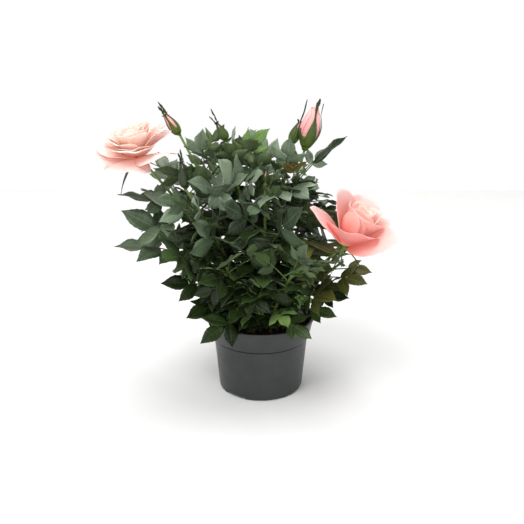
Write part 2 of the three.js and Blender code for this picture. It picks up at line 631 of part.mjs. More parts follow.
// A leaflet is an eight-sided sliver, widest below its middle and folded up along its midrib.
function leafletSolid(one) {
  return solidOf(reshape(new THREE.OctahedronGeometry(1), (point) => {
    const { x, y, z } = point;
    const share = (y + 1) / 2 - (0.5 - leaf.widestAt) * (1 - Math.abs(y));
    const along = share * (one.length + leaf.sunk) - leaf.sunk;
    const across = x * one.halfWidth;
    point.copy(one.base).addScaledVector(one.axis, along).addScaledVector(one.side, across)
      .addScaledVector(one.normal, leaf.fold * Math.abs(across) + (z * leaf.thickness) / 2);
  }));
}

// A stalk runs on into the leaflet at its end, as one four-sided slip: rings up the stalk, one at the blade's
// widest, and a point.
function stalkSolid(stalk, end) {
  const rings = [];
  for (let i = 0; i <= leaf.steps; i++) {
    const radius = leaf.stalkRadius + ((leaf.stalkTaper - leaf.stalkRadius) * i) / leaf.steps;
    const centre = stalk.getPoint((leaf.stalkEnd * i) / leaf.steps);
    rings.push({ centre, halfWidth: radius, halfDepth: radius, fold: 0 });
  }
  const widest = end.base.clone().addScaledVector(end.axis, leaf.widestAt * end.length);
  const point = end.base.clone().addScaledVector(end.axis, end.length);
  rings.push({ centre: widest, halfWidth: end.halfWidth, halfDepth: leaf.thickness / 2, fold: leaf.fold });
  rings.push({ centre: point, halfWidth: 0, halfDepth: 0, fold: 0 });
  const steps = rings.length - 1;
  return solidOf(reshape(new THREE.CylinderGeometry(1, 1, 1, 4, steps), (spot) => {
    const { centre, halfWidth, halfDepth, fold } = rings[Math.round((spot.y + 0.5) * steps)];
    const [across, depth] = [spot.x * halfWidth, spot.z * halfDepth];
    spot.copy(centre).addScaledVector(end.side, across)
      .addScaledVector(end.normal, depth + fold * Math.abs(across));
  }));
}

// ---------------------------------------------------------------- assembly

addPiece('pot', makePot(), potPlastic);
addPiece('soil', makeSoil(), pottingSoil);

const paths = new Map(shoots.map((shoot) => [shoot.name, shootPath(shoot)]));
const frameOf = (flower) => flowerFrame(paths.get(flower.shoot).getPoint(1), flower.axis);

paths.forEach((path) => placed.limbPoints.push(...limbPointsOf(path, 0, 1, stemRadius)));
placed.limbPoints.push(...collarPoints());
roses.forEach((rose) => placed.limbPoints.push(...rosePoints(rose, frameOf(rose))));
buds.forEach((bud) => placed.limbPoints.push(...budPoints(bud, frameOf(bud))));
growLeaves(paths);

for (const { name, leafy: [from, to] } of shoots) {
  const path = paths.get(name);
  addPiece(name + '_cane', limb(path, 0, from, stemRadius, stem.sides, stem.caneSteps), greenCane);
  const leafyStem = limb(path, from + CLEAR / path.getLength(), to, stemRadius, stem.sides, stem.leafySteps);
  const leaves = foliageOf.get(name).flatMap(({ stalk, leaflets: [end, ...paired] }) =>
    [stalkSolid(stalk, end), ...paired.map(leafletSolid)]);
  addPiece(name + '_foliage', fused([leafyStem, ...leaves]), foliage);
}

// A flower is fused to the stretch of its shoot above the leaves.
function addFlower(flower, solids, material) {
  const path = paths.get(flower.shoot);
  const from = shoots.find((shoot) => shoot.name === flower.shoot).leafy[1] + CLEAR / path.getLength();
  const stalk = limb(path, from, 1, stemRadius, stem.sides, 2);
  addPiece(flower.name, fused([stalk, ...solids]), material);
}
roses.forEach((rose) => addFlower(rose, roseSolids(rose, frameOf(rose)), petalPink));
buds.forEach((bud) => addFlower(bud, budSolids(bud, frameOf(bud)), calyxGreen));

export default bush;
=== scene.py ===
import json
from copy import copy
from math import atan2, ceil, cos, exp, hypot, pi, radians, sin
from types import SimpleNamespace as Values

import bpy
import numpy as np
from mathutils import Matrix, Vector

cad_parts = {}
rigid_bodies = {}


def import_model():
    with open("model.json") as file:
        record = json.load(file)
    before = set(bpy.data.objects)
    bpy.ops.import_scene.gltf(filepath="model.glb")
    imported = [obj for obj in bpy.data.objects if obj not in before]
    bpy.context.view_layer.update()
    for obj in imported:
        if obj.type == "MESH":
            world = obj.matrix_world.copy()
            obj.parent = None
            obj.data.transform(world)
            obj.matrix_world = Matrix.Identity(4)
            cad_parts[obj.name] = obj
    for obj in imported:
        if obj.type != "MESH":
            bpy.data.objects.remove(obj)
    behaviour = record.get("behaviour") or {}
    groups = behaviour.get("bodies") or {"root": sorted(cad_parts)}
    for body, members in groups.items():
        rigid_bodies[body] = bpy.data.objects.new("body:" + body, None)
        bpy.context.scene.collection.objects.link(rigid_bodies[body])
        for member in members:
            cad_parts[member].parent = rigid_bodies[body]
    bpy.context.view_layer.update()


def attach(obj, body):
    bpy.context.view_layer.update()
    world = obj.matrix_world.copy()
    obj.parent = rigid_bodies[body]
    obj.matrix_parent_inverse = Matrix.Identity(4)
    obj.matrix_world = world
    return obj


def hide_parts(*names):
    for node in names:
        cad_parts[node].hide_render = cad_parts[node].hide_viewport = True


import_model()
MM = 0.001

# ---------------------------------------------------------------- pot
# A round nursery pot, moulded in one shot from dark grey polypropylene with a matt skin. Its flared collar is
# what growers lift it by, and three arched gaps in the foot with a hole above each let water out.

pot = Values(
    height=74, rim=52.5, foot=41.4, collar_from=53.5, collar=47.6, wall_top=45.9,
    wall=1.5, floor=4, bead=0.9, heel=2.2, sides=144, crisp=38,
)
drain = Values(gaps=3, first=-128, width=25, height=2.8, start=26, arch_depth=30, arch_sides=32, hole_at=33,
               hole=4, hole_from=-2, hole_to=8, hole_sides=24)


def in_scene(name, data):
    """A new object of the scene, at the origin, that holds a mesh, a lamp or a camera."""
    made = bpy.data.objects.new(name, data)
    bpy.context.scene.collection.objects.link(made)
    return made


def piece(name, points, faces, finishes=()):
    """A mesh object in the row frame, from points in millimetres."""
    mesh = bpy.data.meshes.new(name)
    mesh.from_pydata((np.asarray(points, float) * MM).tolist(), [], [list(map(int, face)) for face in faces])
    for finish in finishes:
        mesh.materials.append(finish)
    mesh.polygons.foreach_set("use_smooth", [True] * len(mesh.polygons))
    mesh.update()
    return in_scene(name, mesh)


def turned(profile, sides):
    """Points and faces of a [radius, height] profile turned about Z, closed where it meets the axis."""
    turns = np.arange(sides) * 2 * pi / sides
    points, faces, rings = [], [], []
    for radius, height in profile:
        if radius == 0:
            rings.append([len(points)] * sides)
            points.append((0, 0, height))
            continue
        rings.append(list(range(len(points), len(points) + sides)))
        points.extend(zip(radius * np.cos(turns), radius * np.sin(turns), [height] * sides))
    for low, high in zip(rings, rings[1:]):
        for i in range(sides):
            j = (i + 1) % sides
            corners = [low[i], low[j], high[j], high[i]]
            faces.append(list(dict.fromkeys(corners)))
    return points, faces


def rgb(code):
    """A web colour as the linear values that a shader takes. Linear values stay as they are."""
    if not isinstance(code, str):
        return code
    parts = [int(code[i:i + 2], 16) / 255 for i in (0, 2, 4)]
    return tuple(part / 12.92 if part <= 0.04045 else ((part + 0.055) / 1.055) ** 2.4 for part in parts)


def new_finish(name, colour, roughness, **sockets):
    """A procedural material, with its node tree and its Principled shader."""
    finish = bpy.data.materials.new(name)
    finish.use_nodes = True
    tree = finish.node_tree
    shader = tree.nodes["Principled BSDF"]
    shader.inputs["Base Color"].default_value = (*rgb(colour), 1)
    shader.inputs["Roughness"].default_value = roughness
    for socket, value in sockets.items():
        shader.inputs[socket.replace("_", " ")].default_value = value
    return finish, tree, shader


def node(tree, kind, links=(), **values):
    """Adds a node. A value named in_0, in_1... or in_NAME sets an input. Links are [(input, socket)...]."""
    made = tree.nodes.new(kind)
    for key, value in values.items():
        if not key.startswith("in_"):
            setattr(made, key, value)
    for key, value in values.items():
        if key.startswith("in_"):
            socket = key[3:]
            made.inputs[int(socket) if socket.isdigit() else socket.replace("_", " ")].default_value = value
    for socket, source in links:
        tree.links.new(source, made.inputs[socket])
    return made


def maths(tree, operation, *values, clamp=False):
    """The result of a maths node whose inputs are sockets or plain numbers."""
    made = node(tree, "ShaderNodeMath", operation=operation, use_clamp=clamp)
    for place, value in enumerate(values):
        if isinstance(value, (int, float)):
            made.inputs[place].default_value = value
        else:
            tree.links.new(value, made.inputs[place])
    return made.outputs[0]


def mapped(tree, value, from_low, from_high, to_low, to_high):
    """A value carried from one span to another."""
    return node(tree, "ShaderNodeMapRange", [("Value", value)], in_1=from_low, in_2=from_high, in_3=to_low,
                in_4=to_high).outputs[0]


def noise(tree, scale, detail, roughness=0.5):
    """Noise from 0 to 1 that is fixed to the object."""
    where = node(tree, "ShaderNodeTexCoord").outputs["Object"]
    return node(tree, "ShaderNodeTexNoise", [("Vector", where)], in_Scale=scale, in_Detail=detail,
                in_Roughness=roughness).outputs["Fac"]


def ramp(tree, source, stops):
    """A colour ramp over a value, from {place: colour} stops."""
    made = node(tree, "ShaderNodeValToRGB", [("Fac", source)])
    elements = made.color_ramp.elements
    places = list(stops)
    for element, place in ((elements[0], places[0]), (elements[1], places[-1])):
        element.position, element.color = place, (*rgb(stops[place]), 1)
    for place in places[1:-1]:
        elements.new(place).color = (*rgb(stops[place]), 1)
    return made.outputs["Color"]


def bumped(tree, shader, height, strength, distance):
    """Gives a shader relief from a height value."""
    relief = node(tree, "ShaderNodeBump", [("Height", height)], in_Strength=strength, in_Distance=distance)
    tree.links.new(relief.outputs[0], shader.inputs["Normal"])


def pot_profile():
    """The pot's section, outside from the foot up to the rolled bead and inside back down to the floor."""
    rim, height, bead, wall, foot, heel = pot.rim, pot.height, pot.bead, pot.wall, pot.foot, pot.heel
    top, seam = pot.wall_top, pot.collar_from
    outside = [(0, 0.9), (30, 0.9), (33, 0.3), (foot - heel, 0)]
    outside += [(foot - heel + heel * sin(a), heel - heel * cos(a)) for a in np.linspace(0.3, pi / 2, 6)]
    outside += [(top, seam - 1.6), (top - 0.7, seam - 1.2), (top - 0.7, seam), (pot.collar - 0.3, seam),
                (pot.collar, seam + 0.5), (rim - bead, height - 3.6), (rim - 0.2, height - 2.6)]
    lip = [(rim - bead + bead * cos(a), height - bead + bead * sin(a)) for a in np.linspace(-0.6, pi, 9)]
    inside = [(rim - wall - 0.9, height - 2.4), (pot.collar - wall, seam + 1), (top - wall, seam - 1),
              (foot - wall, pot.floor + 1), (foot - wall - 1, pot.floor), (0, pot.floor)]
    return outside + lip + inside


def cut(body, cutters):
    """Cuts the cutters out of a body and puts the result in its mesh."""
    for cutter in cutters:
        boolean = body.modifiers.new("cut", "BOOLEAN")
        boolean.object, boolean.solver = cutter, "EXACT"
    graph = bpy.context.evaluated_depsgraph_get()
    mesh = bpy.data.meshes.new_from_object(body.evaluated_get(graph))
    body.modifiers.clear()
    body.data = mesh
    for cutter in cutters:
        bpy.data.objects.remove(cutter)


def drain_cutters():
    """Solids for the arched gaps in the foot and for the round holes above them."""
    cutters = []
    for i in range(drain.gaps):
        place = Matrix.Rotation(radians(drain.first + 360 / drain.gaps * i), 4, "Z")
        half, deep, hole = drain.width / 2, drain.arch_depth, drain.hole
        arch, arch_faces = turned([(0, 0), (half, 0), (half, deep), (0, deep)], drain.arch_sides)
        arch = [(drain.start + z, x, drain.height * np.sign(y) * abs(2 * y / drain.width) ** 0.4)
                for x, y, z in arch]
        low, high = drain.hole_from, drain.hole_to
        tube, tube_faces = turned([(0, low), (hole, low), (hole, high), (0, high)], drain.hole_sides)
        tube = [(x + drain.hole_at, y, z) for x, y, z in tube]
        for points, faces in ((arch, arch_faces), (tube, tube_faces)):
            cutter = piece("drain cutter", points, faces)
            cutter.data.transform(place)
            cutters.append(cutter)
    return cutters


pot_plastic, tree, shader = new_finish("pot plastic", "2c2f2f", 0.5, Specular_IOR_Level=0.42)
mottle = ramp(tree, noise(tree, 60, 6, 0.6), {0.3: "282b2b", 0.7: "323535"})
tree.links.new(mottle, shader.inputs["Base Color"])
flow = noise(tree, 90, 2)
bumped(tree, shader, maths(tree, "ADD", noise(tree, 2600, 3), flow), 0.25, 0.0003)
tree.links.new(mapped(tree, flow, 0, 1, 0.34, 0.5), shader.inputs["Roughness"])

pot_shell = piece("nursery_pot", *turned(pot_profile(), pot.sides), [pot_plastic])
cut(pot_shell, drain_cutters())
pot_shell.data.set_sharp_from_angle(angle=radians(pot.crisp))
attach(pot_shell, "root")
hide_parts("pot")

# ---------------------------------------------------------------- soil
# Moist peat compost, nearly black, pressed down by watering to a little below the rim. Crumbs of peat and
# chips of bark lie loose on it.

soil = Values(top=65, radius=47.9, neck=52.5, neck_radius=44.3, low=4.3, low_radius=39.4, rings=26, sides=96,
              dip=2.0)
crumb = Values(count=1500, least=0.5, most=1.9, seed=5, shapes=6)


def chance(*key):
    """The same key always gives the same number from 0 to 1."""
    value = 2166136261
    for part in (*key, 97):
        value = ((value ^ part) * 16777619) & 0xFFFFFFFF
        value ^= value >> 13
    return value / 4294967296


def jitter(amount, *key):
    """A number from minus the amount to the amount, always the same for a key."""
    return amount * (2 * chance(*key) - 1)


def soil_surface():
    """A turned plug whose top is raised and dipped by a few slow waves."""
    top = [(soil.radius * i / soil.rings, soil.top) for i in range(soil.rings, -1, -1)]
    wall = [(soil.low_radius, soil.low), (soil.neck_radius, soil.neck)]
    points, faces = turned([(0, soil.low), *wall, *top], soil.sides)
    points = np.array(points, float)
    x, y, z = points.T
    wave = np.sin(0.19 * x + 1.3) * np.cos(0.23 * y) + 0.5 * np.sin(0.51 * x - 0.43 * y)
    wave = wave + 0.3 * np.cos(0.9 * y + x)
    points[:, 2] = np.where(z > 60, z - soil.dip * 0.5 + wave * soil.dip * 0.4, z)
    return points, faces


def crumb_shape(index):
    """A small rough pebble: a ball of five rings with its points pushed in and out."""
    ball, faces = turned([(0, -1), (0.7, -0.7), (1, 0), (0.7, 0.7), (0, 1)], 6)
    ball = np.array([np.array(point) * (1 + jitter(0.3, index, i, 11)) for i, point in enumerate(ball)])
    ball *= [1, 0.85, 0.45 + 0.4 * chance(index, 12)]
    return piece(f"crumb shape {index}", ball / MM, faces)


def rule_tree(name, inputs):
    """An empty geometry rule with a mesh in, a mesh out and named inputs of [kind, name, value]."""
    tree = bpy.data.node_groups.new(name, "GeometryNodeTree")
    tree.interface.new_socket("Mesh", in_out="OUTPUT", socket_type="NodeSocketGeometry")
    tree.interface.new_socket("Mesh", in_out="INPUT", socket_type="NodeSocketGeometry")
    for kind, label, value in inputs:
        socket = tree.interface.new_socket(label, in_out="INPUT", socket_type="NodeSocket" + kind)
        if value is not None:
            socket.default_value = value
    return tree, tree.nodes.new("NodeGroupInput").outputs, tree.nodes.new("NodeGroupOutput")


def grown(name, holder, tree, values):
    """Runs a geometry rule on a holder and keeps the result as a plain mesh object."""
    rule = holder.modifiers.new("rule", "NODES")
    rule.node_group = tree
    for item in tree.interface.items_tree:
        if item.in_out == "INPUT" and item.name in values:
            rule[item.identifier] = values[item.name]
    graph = bpy.context.evaluated_depsgraph_get()
    mesh = bpy.data.meshes.new_from_object(holder.evaluated_get(graph), preserve_all_data_layers=True,
                                           depsgraph=graph)
    mesh.name = name
    made = in_scene(name, mesh)
    bpy.data.objects.remove(holder)
    return made


def finished(tree, given, out, shape):
    """Ends a rule: makes its copies real, gives them the finish and hands them out."""
    real = node(tree, "GeometryNodeRealizeInstances", [(0, shape)])
    painted = node(tree, "GeometryNodeSetMaterial", [
        ("Geometry", real.outputs[0]), ("Material", given["Finish"])])
    tree.links.new(painted.outputs[0], out.inputs[0])
    return tree


def shape_box(name, shapes):
    """Puts shapes in a collection of their own, for a rule to pick from."""
    box = bpy.data.collections.new(name)
    for shape in shapes:
        bpy.context.scene.collection.objects.unlink(shape)
        box.objects.link(shape)
    return box


def clear_box(box):
    """Throws away the shapes of a box when the rule has used them."""
    for shape in list(box.objects):
        bpy.data.objects.remove(shape)
    bpy.data.collections.remove(box)


def scatter_tree():
    """Scatters shapes over the faces that look up, at random sizes and turns."""
    tree, given, out = rule_tree("scatter crumbs", [
        ("Float", "Density", 1.0), ("Float", "Least", 0.5), ("Float", "Most", 2.0), ("Int", "Seed", 1),
        ("Collection", "Shapes", None), ("Material", "Finish", None),
    ])
    facing = node(tree, "ShaderNodeSeparateXYZ", [(0, tree.nodes.new("GeometryNodeInputNormal").outputs[0])])
    upward = node(tree, "FunctionNodeCompare", [(0, facing.outputs["Z"])], operation="GREATER_THAN", in_1=0.5)
    spread = node(tree, "GeometryNodeDistributePointsOnFaces", [
        ("Mesh", given["Mesh"]), ("Density", given["Density"]), ("Seed", given["Seed"]),
        ("Selection", upward.outputs[0])])
    shapes = node(tree, "GeometryNodeCollectionInfo", [("Collection", given["Shapes"])],
                  in_Separate_Children=True, in_Reset_Children=True)
    size = node(tree, "FunctionNodeRandomValue", [
        (2, given["Least"]), (3, given["Most"]), ("Seed", given["Seed"])])
    turn = node(tree, "FunctionNodeRandomValue", data_type="FLOAT_VECTOR", in_1=(6.28, 6.28, 6.28), in_Seed=3)
    put = node(tree, "GeometryNodeInstanceOnPoints", [
        ("Points", spread.outputs["Points"]), ("Instance", shapes.outputs[0]), ("Rotation", turn.outputs[0]),
        ("Scale", size.outputs[1])], in_Pick_Instance=True)
    return finished(tree, given, out, put.outputs[0])


def soil_finish(name, stops, roughness):
    """Crumbly matter whose colour and relief follow the same coarse noise."""
    finish, tree, shader = new_finish(name, next(iter(stops.values())), roughness, Specular_IOR_Level=0.2)
    coarse = noise(tree, 420, 8, 0.7)
    tree.links.new(ramp(tree, coarse, stops), shader.inputs["Base Color"])
    bumped(tree, shader, coarse, 0.9, 0.0012)
    return finish


peat = soil_finish("peat", {0.3: "120d09", 0.55: "2a2018", 0.8: "4a3a2b"}, 0.95)
bark_chip = soil_finish("bark chips", {0.3: "1c130c", 0.6: "3b2a1c", 0.85: "5b4530"}, 0.9)

soil_plug = piece("potting_soil", *soil_surface(), [peat])
crumb_shapes = shape_box("crumb shapes", [crumb_shape(index) for index in range(crumb.shapes)])
soil_area = pi * (soil.radius * MM) ** 2
crumbs = grown("soil_crumbs", piece("crumb holder", *soil_surface()), scatter_tree(), {
    "Density": crumb.count / soil_area, "Least": crumb.least * MM, "Most": crumb.most * MM,
    "Seed": crumb.seed, "Shapes": crumb_shapes, "Finish": bark_chip,
})
clear_box(crumb_shapes)
for part in (soil_plug, crumbs):
    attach(part, "root")
    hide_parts("soil")

# ---------------------------------------------------------------- canes and green stems
# Living rose wood: brown-green and corky at the foot, smooth bright green near the flowers. Seventeen shoots
# rise from the soil, each a tapering tube with a swollen joint wherever a leaf leaves it.

def table(keys, rows):
    """A table by name: each row's first value is its name, and the others go by the keys."""
    return {name: Values(**dict(zip(keys, values))) for name, *values in rows}


# Each shoot: the turn and distance of its foot, its tip, its leafy stretch and its number of ruled leaves.
shoots = table(("foot", "tip", "leafy", "leaves"), [
    ("left_rose", (215, 17), (-110, -12, 231), (0.3, 0.86), 3),
    ("left_bud", (150, 12), (-74, 5, 248), (0.3, 0.88), 4),
    ("dark_bud", (240, 22), (-66, -38, 207), (0.24, 0.9), 3),
    ("top_bud", (110, 6), (-31, 0, 244), (0.3, 0.92), 4),
    ("middle_bud", (285, 14), (4, -32, 212), (0.24, 0.95), 3),
    ("right_bud", (10, 12), (40, 0, 235), (0.3, 0.9), 4),
    ("twin_bud", (60, 13), (28, 8, 239), (0.3, 0.88), 4),
    ("right_rose", (325, 20), (76, -38, 156), (0.2, 0.8), 3),
    ("left_low", (190, 24), (-64, -16, 138), (0.18, 1), 4),
    ("right_low", (350, 24), (80, 2, 128), (0.18, 1), 4),
    ("front_left", (255, 27), (-30, -56, 140), (0.16, 1), 3),
    ("front_right", (290, 27), (28, -58, 135), (0.16, 1), 3),
    ("back_left", (130, 22), (-58, 48, 205), (0.22, 1), 7),
    ("back", (92, 24), (-4, 56, 205), (0.22, 1), 7),
    ("back_right", (45, 22), (56, 44, 200), (0.22, 1), 7),
    ("back_low", (70, 28), (40, 62, 136), (0.18, 1), 7),
    ("back_low_left", (140, 28), (-56, 56, 136), (0.18, 1), 6),
])
stem = Values(foot_radius=1.9, tip_radius=1.1, flare=0.35, knee=0.32, step=1.6, joint=0.28)
UP = np.array([0.0, 0.0, 1.0])


def unit(vector):
    """The vector's way, at length 1."""
    return vector / np.sqrt(vector @ vector)


class Bend:
    """A curve that leaves its start towards a knee and arrives from it, as limbs and stalks do."""

    def __init__(self, start, knee, tip):
        self.start, self.knee, self.tip = (np.array(point, float) for point in (start, knee, tip))

    def at(self, share):
        share = np.asarray(share, float)[..., None]
        rest = 1 - share
        return rest * rest * self.start + 2 * rest * share * self.knee + share * share * self.tip

    def way(self, share):
        ahead, behind = min(share + 0.0001, 1), max(share - 0.0001, 0)
        return unit(self.at(ahead) - self.at(behind))

    def length(self):
        spots = self.at(np.arange(201) / 200)
        return float(np.sqrt(((spots[1:] - spots[:-1]) ** 2).sum(1)).sum())


def shoot_path(shoot):
    angle, radius = shoot.foot
    foot = np.array([radius * cos(radians(angle)), radius * sin(radians(angle)), soil.top + 0.3])
    tip = np.array(shoot.tip, float)
    knee = np.array([foot[0], foot[1], foot[2] + stem.knee * (tip[2] - foot[2])])
    return Bend(foot, knee, tip)


def stem_radius(share):
    return stem.foot_radius + (stem.tip_radius - stem.foot_radius) * share + stem.flare * exp(-30 * share)


paths = {name: shoot_path(shoot) for name, shoot in shoots.items()}


def mark(mesh, name, kind, values, domain="POINT"):
    """Keeps one value for each point, or for each face, under a name."""
    field = "vector" if kind == "FLOAT_VECTOR" else "value"
    mesh.attributes.new(name, kind, domain).data.foreach_set(field, values)


def lines_holder(name, lines):
    """A mesh of open lines for the tube rule, each as (points, radii, age from 0 at an old foot to 1)."""
    points, edges, radii, ages = [], [], [], []
    for spots, thick, age in lines:
        first = len(points)
        points.extend(spots)
        radii.extend(np.broadcast_to(thick, len(spots)))
        ages.extend(np.broadcast_to(age, len(spots)))
        edges.extend((i, i + 1) for i in range(first, len(points) - 1))
    mesh = bpy.data.meshes.new(name)
    mesh.from_pydata((np.array(points) * MM).tolist(), edges, [])
    mark(mesh, "thick", "FLOAT", np.array(radii) * MM)
    mark(mesh, "age", "FLOAT", np.array(ages, float))
    return in_scene(name, mesh)


def tube_tree():
    """Sweeps a round section along every line, as thick as its points say, and roughens it a little."""
    tree, given, out = rule_tree("round limbs", [
        ("Int", "Sides", 8), ("Float", "Relief", 0.0), ("Material", "Finish", None)])
    line = node(tree, "GeometryNodeMeshToCurve", [(0, given["Mesh"])])
    thick = node(tree, "GeometryNodeInputNamedAttribute", in_Name="thick")
    ring = node(tree, "GeometryNodeCurvePrimitiveCircle", [("Resolution", given["Sides"])], in_Radius=1.0)
    tube = node(tree, "GeometryNodeCurveToMesh", [
        ("Curve", line.outputs[0]), ("Profile Curve", ring.outputs[0]), ("Scale", thick.outputs[0])],
        in_Fill_Caps=True)
    wander = node(tree, "ShaderNodeTexNoise", in_Scale=300.0, in_Detail=2).outputs["Fac"]
    amount = maths(tree, "MULTIPLY", maths(tree, "SUBTRACT", wander, 0.5), given["Relief"])
    along = tree.nodes.new("GeometryNodeInputNormal").outputs[0]
    push = node(tree, "ShaderNodeVectorMath", [(0, along), ("Scale", amount)], operation="SCALE")
    rough = node(tree, "GeometryNodeSetPosition", [
        ("Geometry", tube.outputs[0]), ("Offset", push.outputs[0])])
    smooth = node(tree, "GeometryNodeSetShadeSmooth", [("Geometry", rough.outputs[0])])
    return finished(tree, given, out, smooth.outputs[0])


def value_of(tree, name):
    """What the mesh's points hold under a name."""
    return node(tree, "ShaderNodeAttribute", attribute_name=name).outputs["Fac"]


def flecked(tree, value, fleck, amount):
    """A value from 0 to 1 that noise shifts up and down, by the amount in all."""
    return maths(tree, "ADD", value, maths(tree, "MULTIPLY_ADD", fleck, amount, -amount / 2), clamp=True)


def stem_finish():
    """Bark by age: corky brown-green at 0, dark green in the middle and bright yellow-green at 1."""
    finish, tree, shader = new_finish("rose stems", "5d7a35", 0.45, Specular_IOR_Level=0.4)
    fleck = noise(tree, 700, 5, 0.65)
    colour = ramp(tree, flecked(tree, value_of(tree, "age"), fleck, 0.25), {
        0: "43351f", 0.25: "464820", 0.5: "465a26", 0.75: "5f7c36", 1: "83a050"})
    tree.links.new(colour, shader.inputs["Base Color"])
    bumped(tree, shader, fleck, 0.3, 0.0003)
    return finish


rose_stems = stem_finish()
tubes = tube_tree()

# ---------------------------------------------------------------- open roses
# Two double blooms. Each petal is a thin soft shell that is narrow and deep coral at its foot, broad and pale
# at its rim; the coral is partly the petal's own colour and partly painted shade, where the feet lie deep in
# the flower.
# The outer ones arch back, and the inner ones wrap closer and closer round a cream-yellow heart.

# A whorl is a ring of like petals, from the outermost in. Angles are in degrees: turn is where the first one
# stands, open how far it leans out at its foot, curl and lip how much further in the middle and at the rim.
whorl_keys = ("petals", "turn", "lift", "open", "curl", "length", "width", "cup", "roll", "lip", "point",
              "aside", "tilt")
# A sepal is its turn, how far it drops, its length, its width and how crooked it is.
roses = {
    "rose_left": Values(
        shoot="left_rose", axis=(-0.24, -0.3, 1), sepal_turn=20,
        sepals=[(198, 48, 37, 6.0, 6.0), (330, 22, 30, 3.2, 0.4), (20, 14, 18, 4.5, 0.5),
                (90, 14, 20, 4.5, 0.5), (165, 14, 20, 4.5, 0.5)],
        whorls=[
            (1, 202, 0, 60, 4, 40, 34, -60, 0.1, 10, 1.0),
            (1, 258, 0, 66, 32, 37, 42, -60, 0.1, 30, 0.2),
            (1, 318, 0.4, 72, 10, 42, 42, -44, 0.1, 14, 0.9),
            (1, 26, 0, 68, 8, 37, 36, 30, 0.4, 20, 0.7),
            (1, 105, 0, 52, 18, 38, 40, 30, 0.2, 20, 0.4),
            (1, 278, 1.0, 50, 12, 35, 40, 30, 0.3, 50, 0.2),
            (4, 20, 1.3, 54, 6, 35, 36, 28, 0.3, 30, 0.5),
            (4, 64, 2.4, 40, 4, 33, 32, 20, 0.15, 30, 0.5),
            (5, 44, 3.2, 31, 2, 29, 25, 15, 0.1, 30, 0.5),
            (5, 80, 3.8, 20, 0, 26, 19, 11, 0.1, 30, 0.5),
            (5, 20, 4.2, 11, 0, 20, 13, 7, 0.1, 30, 0.2),
            (4, 70, 4.5, 5, -2, 18, 9, 4, 0, 20, 0.2),
        ],
    ),
    "rose_right": Values(
        shoot="right_rose", axis=(0.46, -0.28, 1), sepal_turn=322,
        sepals=[(262, 66, 26, 5.0, 1.0), (200, 12, 24, 6.0, 1.2), (318, 14, 25, 5.0, 1.0),
                (100, 24, 22, 5, 0.5), (30, 26, 22, 5, 0.5)],
        whorls=[
            (1, 350, 0, 29, 10, 54, 42, 40, 0.1, 20, 1.0, 0, 36),
            (1, 270, 0.2, 36, 12, 39, 54, 30, 0.3, 40, 1.0, -0.5, 16),
            (1, 188, 0, 56, 6, 50, 26, 18, 0.7, 14, 1.0),
            (1, 158, 0.6, 34, 0, 50, 42, 26, 0.3, 24, 0.6),
            (1, 84, 0, 24, 6, 46, 38, 22, 0.25, 24, 0.2),
            (1, 16, 0.6, 34, 4, 42, 38, 24, 0.3, 24, 0.5),
            (1, 222, 3.2, 20, 4, 41, 34, 17, 0.4, 50, 0.6),
            (1, 292, 3.6, 22, 2, 36, 44, 20, 0.1, 30, 0.1),
            (2, 20, 3.6, 22, -4, 40, 34, 17, 0.2, 34, 0.2),
            (3, 250, 4.5, 14, -4, 36, 29, 12, 0.1, 34, 0.2),
            (4, 200, 5, 9, -6, 33, 22, 9, 0, 30, 0.1),
            (3, 280, 5.5, 5, -6, 30, 15, 5.5, 0, 20, 0.1),
        ],
    ),
}
for rose in roses.values():
    rose.whorls = [Values(**dict(zip(whorl_keys, (*row, 0, 0)))) for row in rose.whorls]
petal = Values(thick=0.55, foot=2.5, round=0.26, peak=0.2, tuck=0.2, ruffle=0.9, across=16, along=18,
               steps=240, lip_from=0.86, varies=3, grows=0.05, turns=8)
hip = Values(radius=3.6, stalk=1.1, height=7, sides=24)
rose_sepal = Values(count=5, length=26, drop=35, twist=80)


class Bloom:
    """A flower's own frame: its middle, its axis, and two directions across the axis."""

    def __init__(self, origin, lean):
        self.origin, self.axis = origin, unit(np.array(lean, float))
        self.right = unit(np.array([1.0, 0, 0]) - self.axis[0] * self.axis)
        self.back = np.cross(self.axis, self.right)

    def out(self, turn):
        return self.right * cos(radians(turn)) + self.back * sin(radians(turn))

    def spot(self, height, out, distance):
        return self.origin + np.multiply.outer(height, self.axis) + np.multiply.outer(distance, out)


def shell_faces(rows, columns, offset):
    """Faces of a closed thin shell: a front grid, a back grid and the strip that joins their edges."""
    def at(side, i, j):
        return offset + side * (rows + 1) * (columns + 1) + i * (columns + 1) + j
    faces = []
    for i in range(rows):
        for j in range(columns):
            faces.append([at(0, i, j), at(0, i, j + 1), at(0, i + 1, j + 1), at(0, i + 1, j)])
            faces.append([at(1, i, j), at(1, i + 1, j), at(1, i + 1, j + 1), at(1, i, j + 1)])
    for i in range(rows):
        faces.append([at(0, i, 0), at(0, i + 1, 0), at(1, i + 1, 0), at(1, i, 0)])
        faces.append([at(0, i + 1, columns), at(0, i, columns), at(1, i, columns), at(1, i + 1, columns)])
    for j in range(columns):
        faces.append([at(0, 0, j + 1), at(0, 0, j), at(1, 0, j), at(1, 0, j + 1)])
        faces.append([at(0, rows, j), at(0, rows, j + 1), at(1, rows, j + 1), at(1, rows, j)])
    return faces


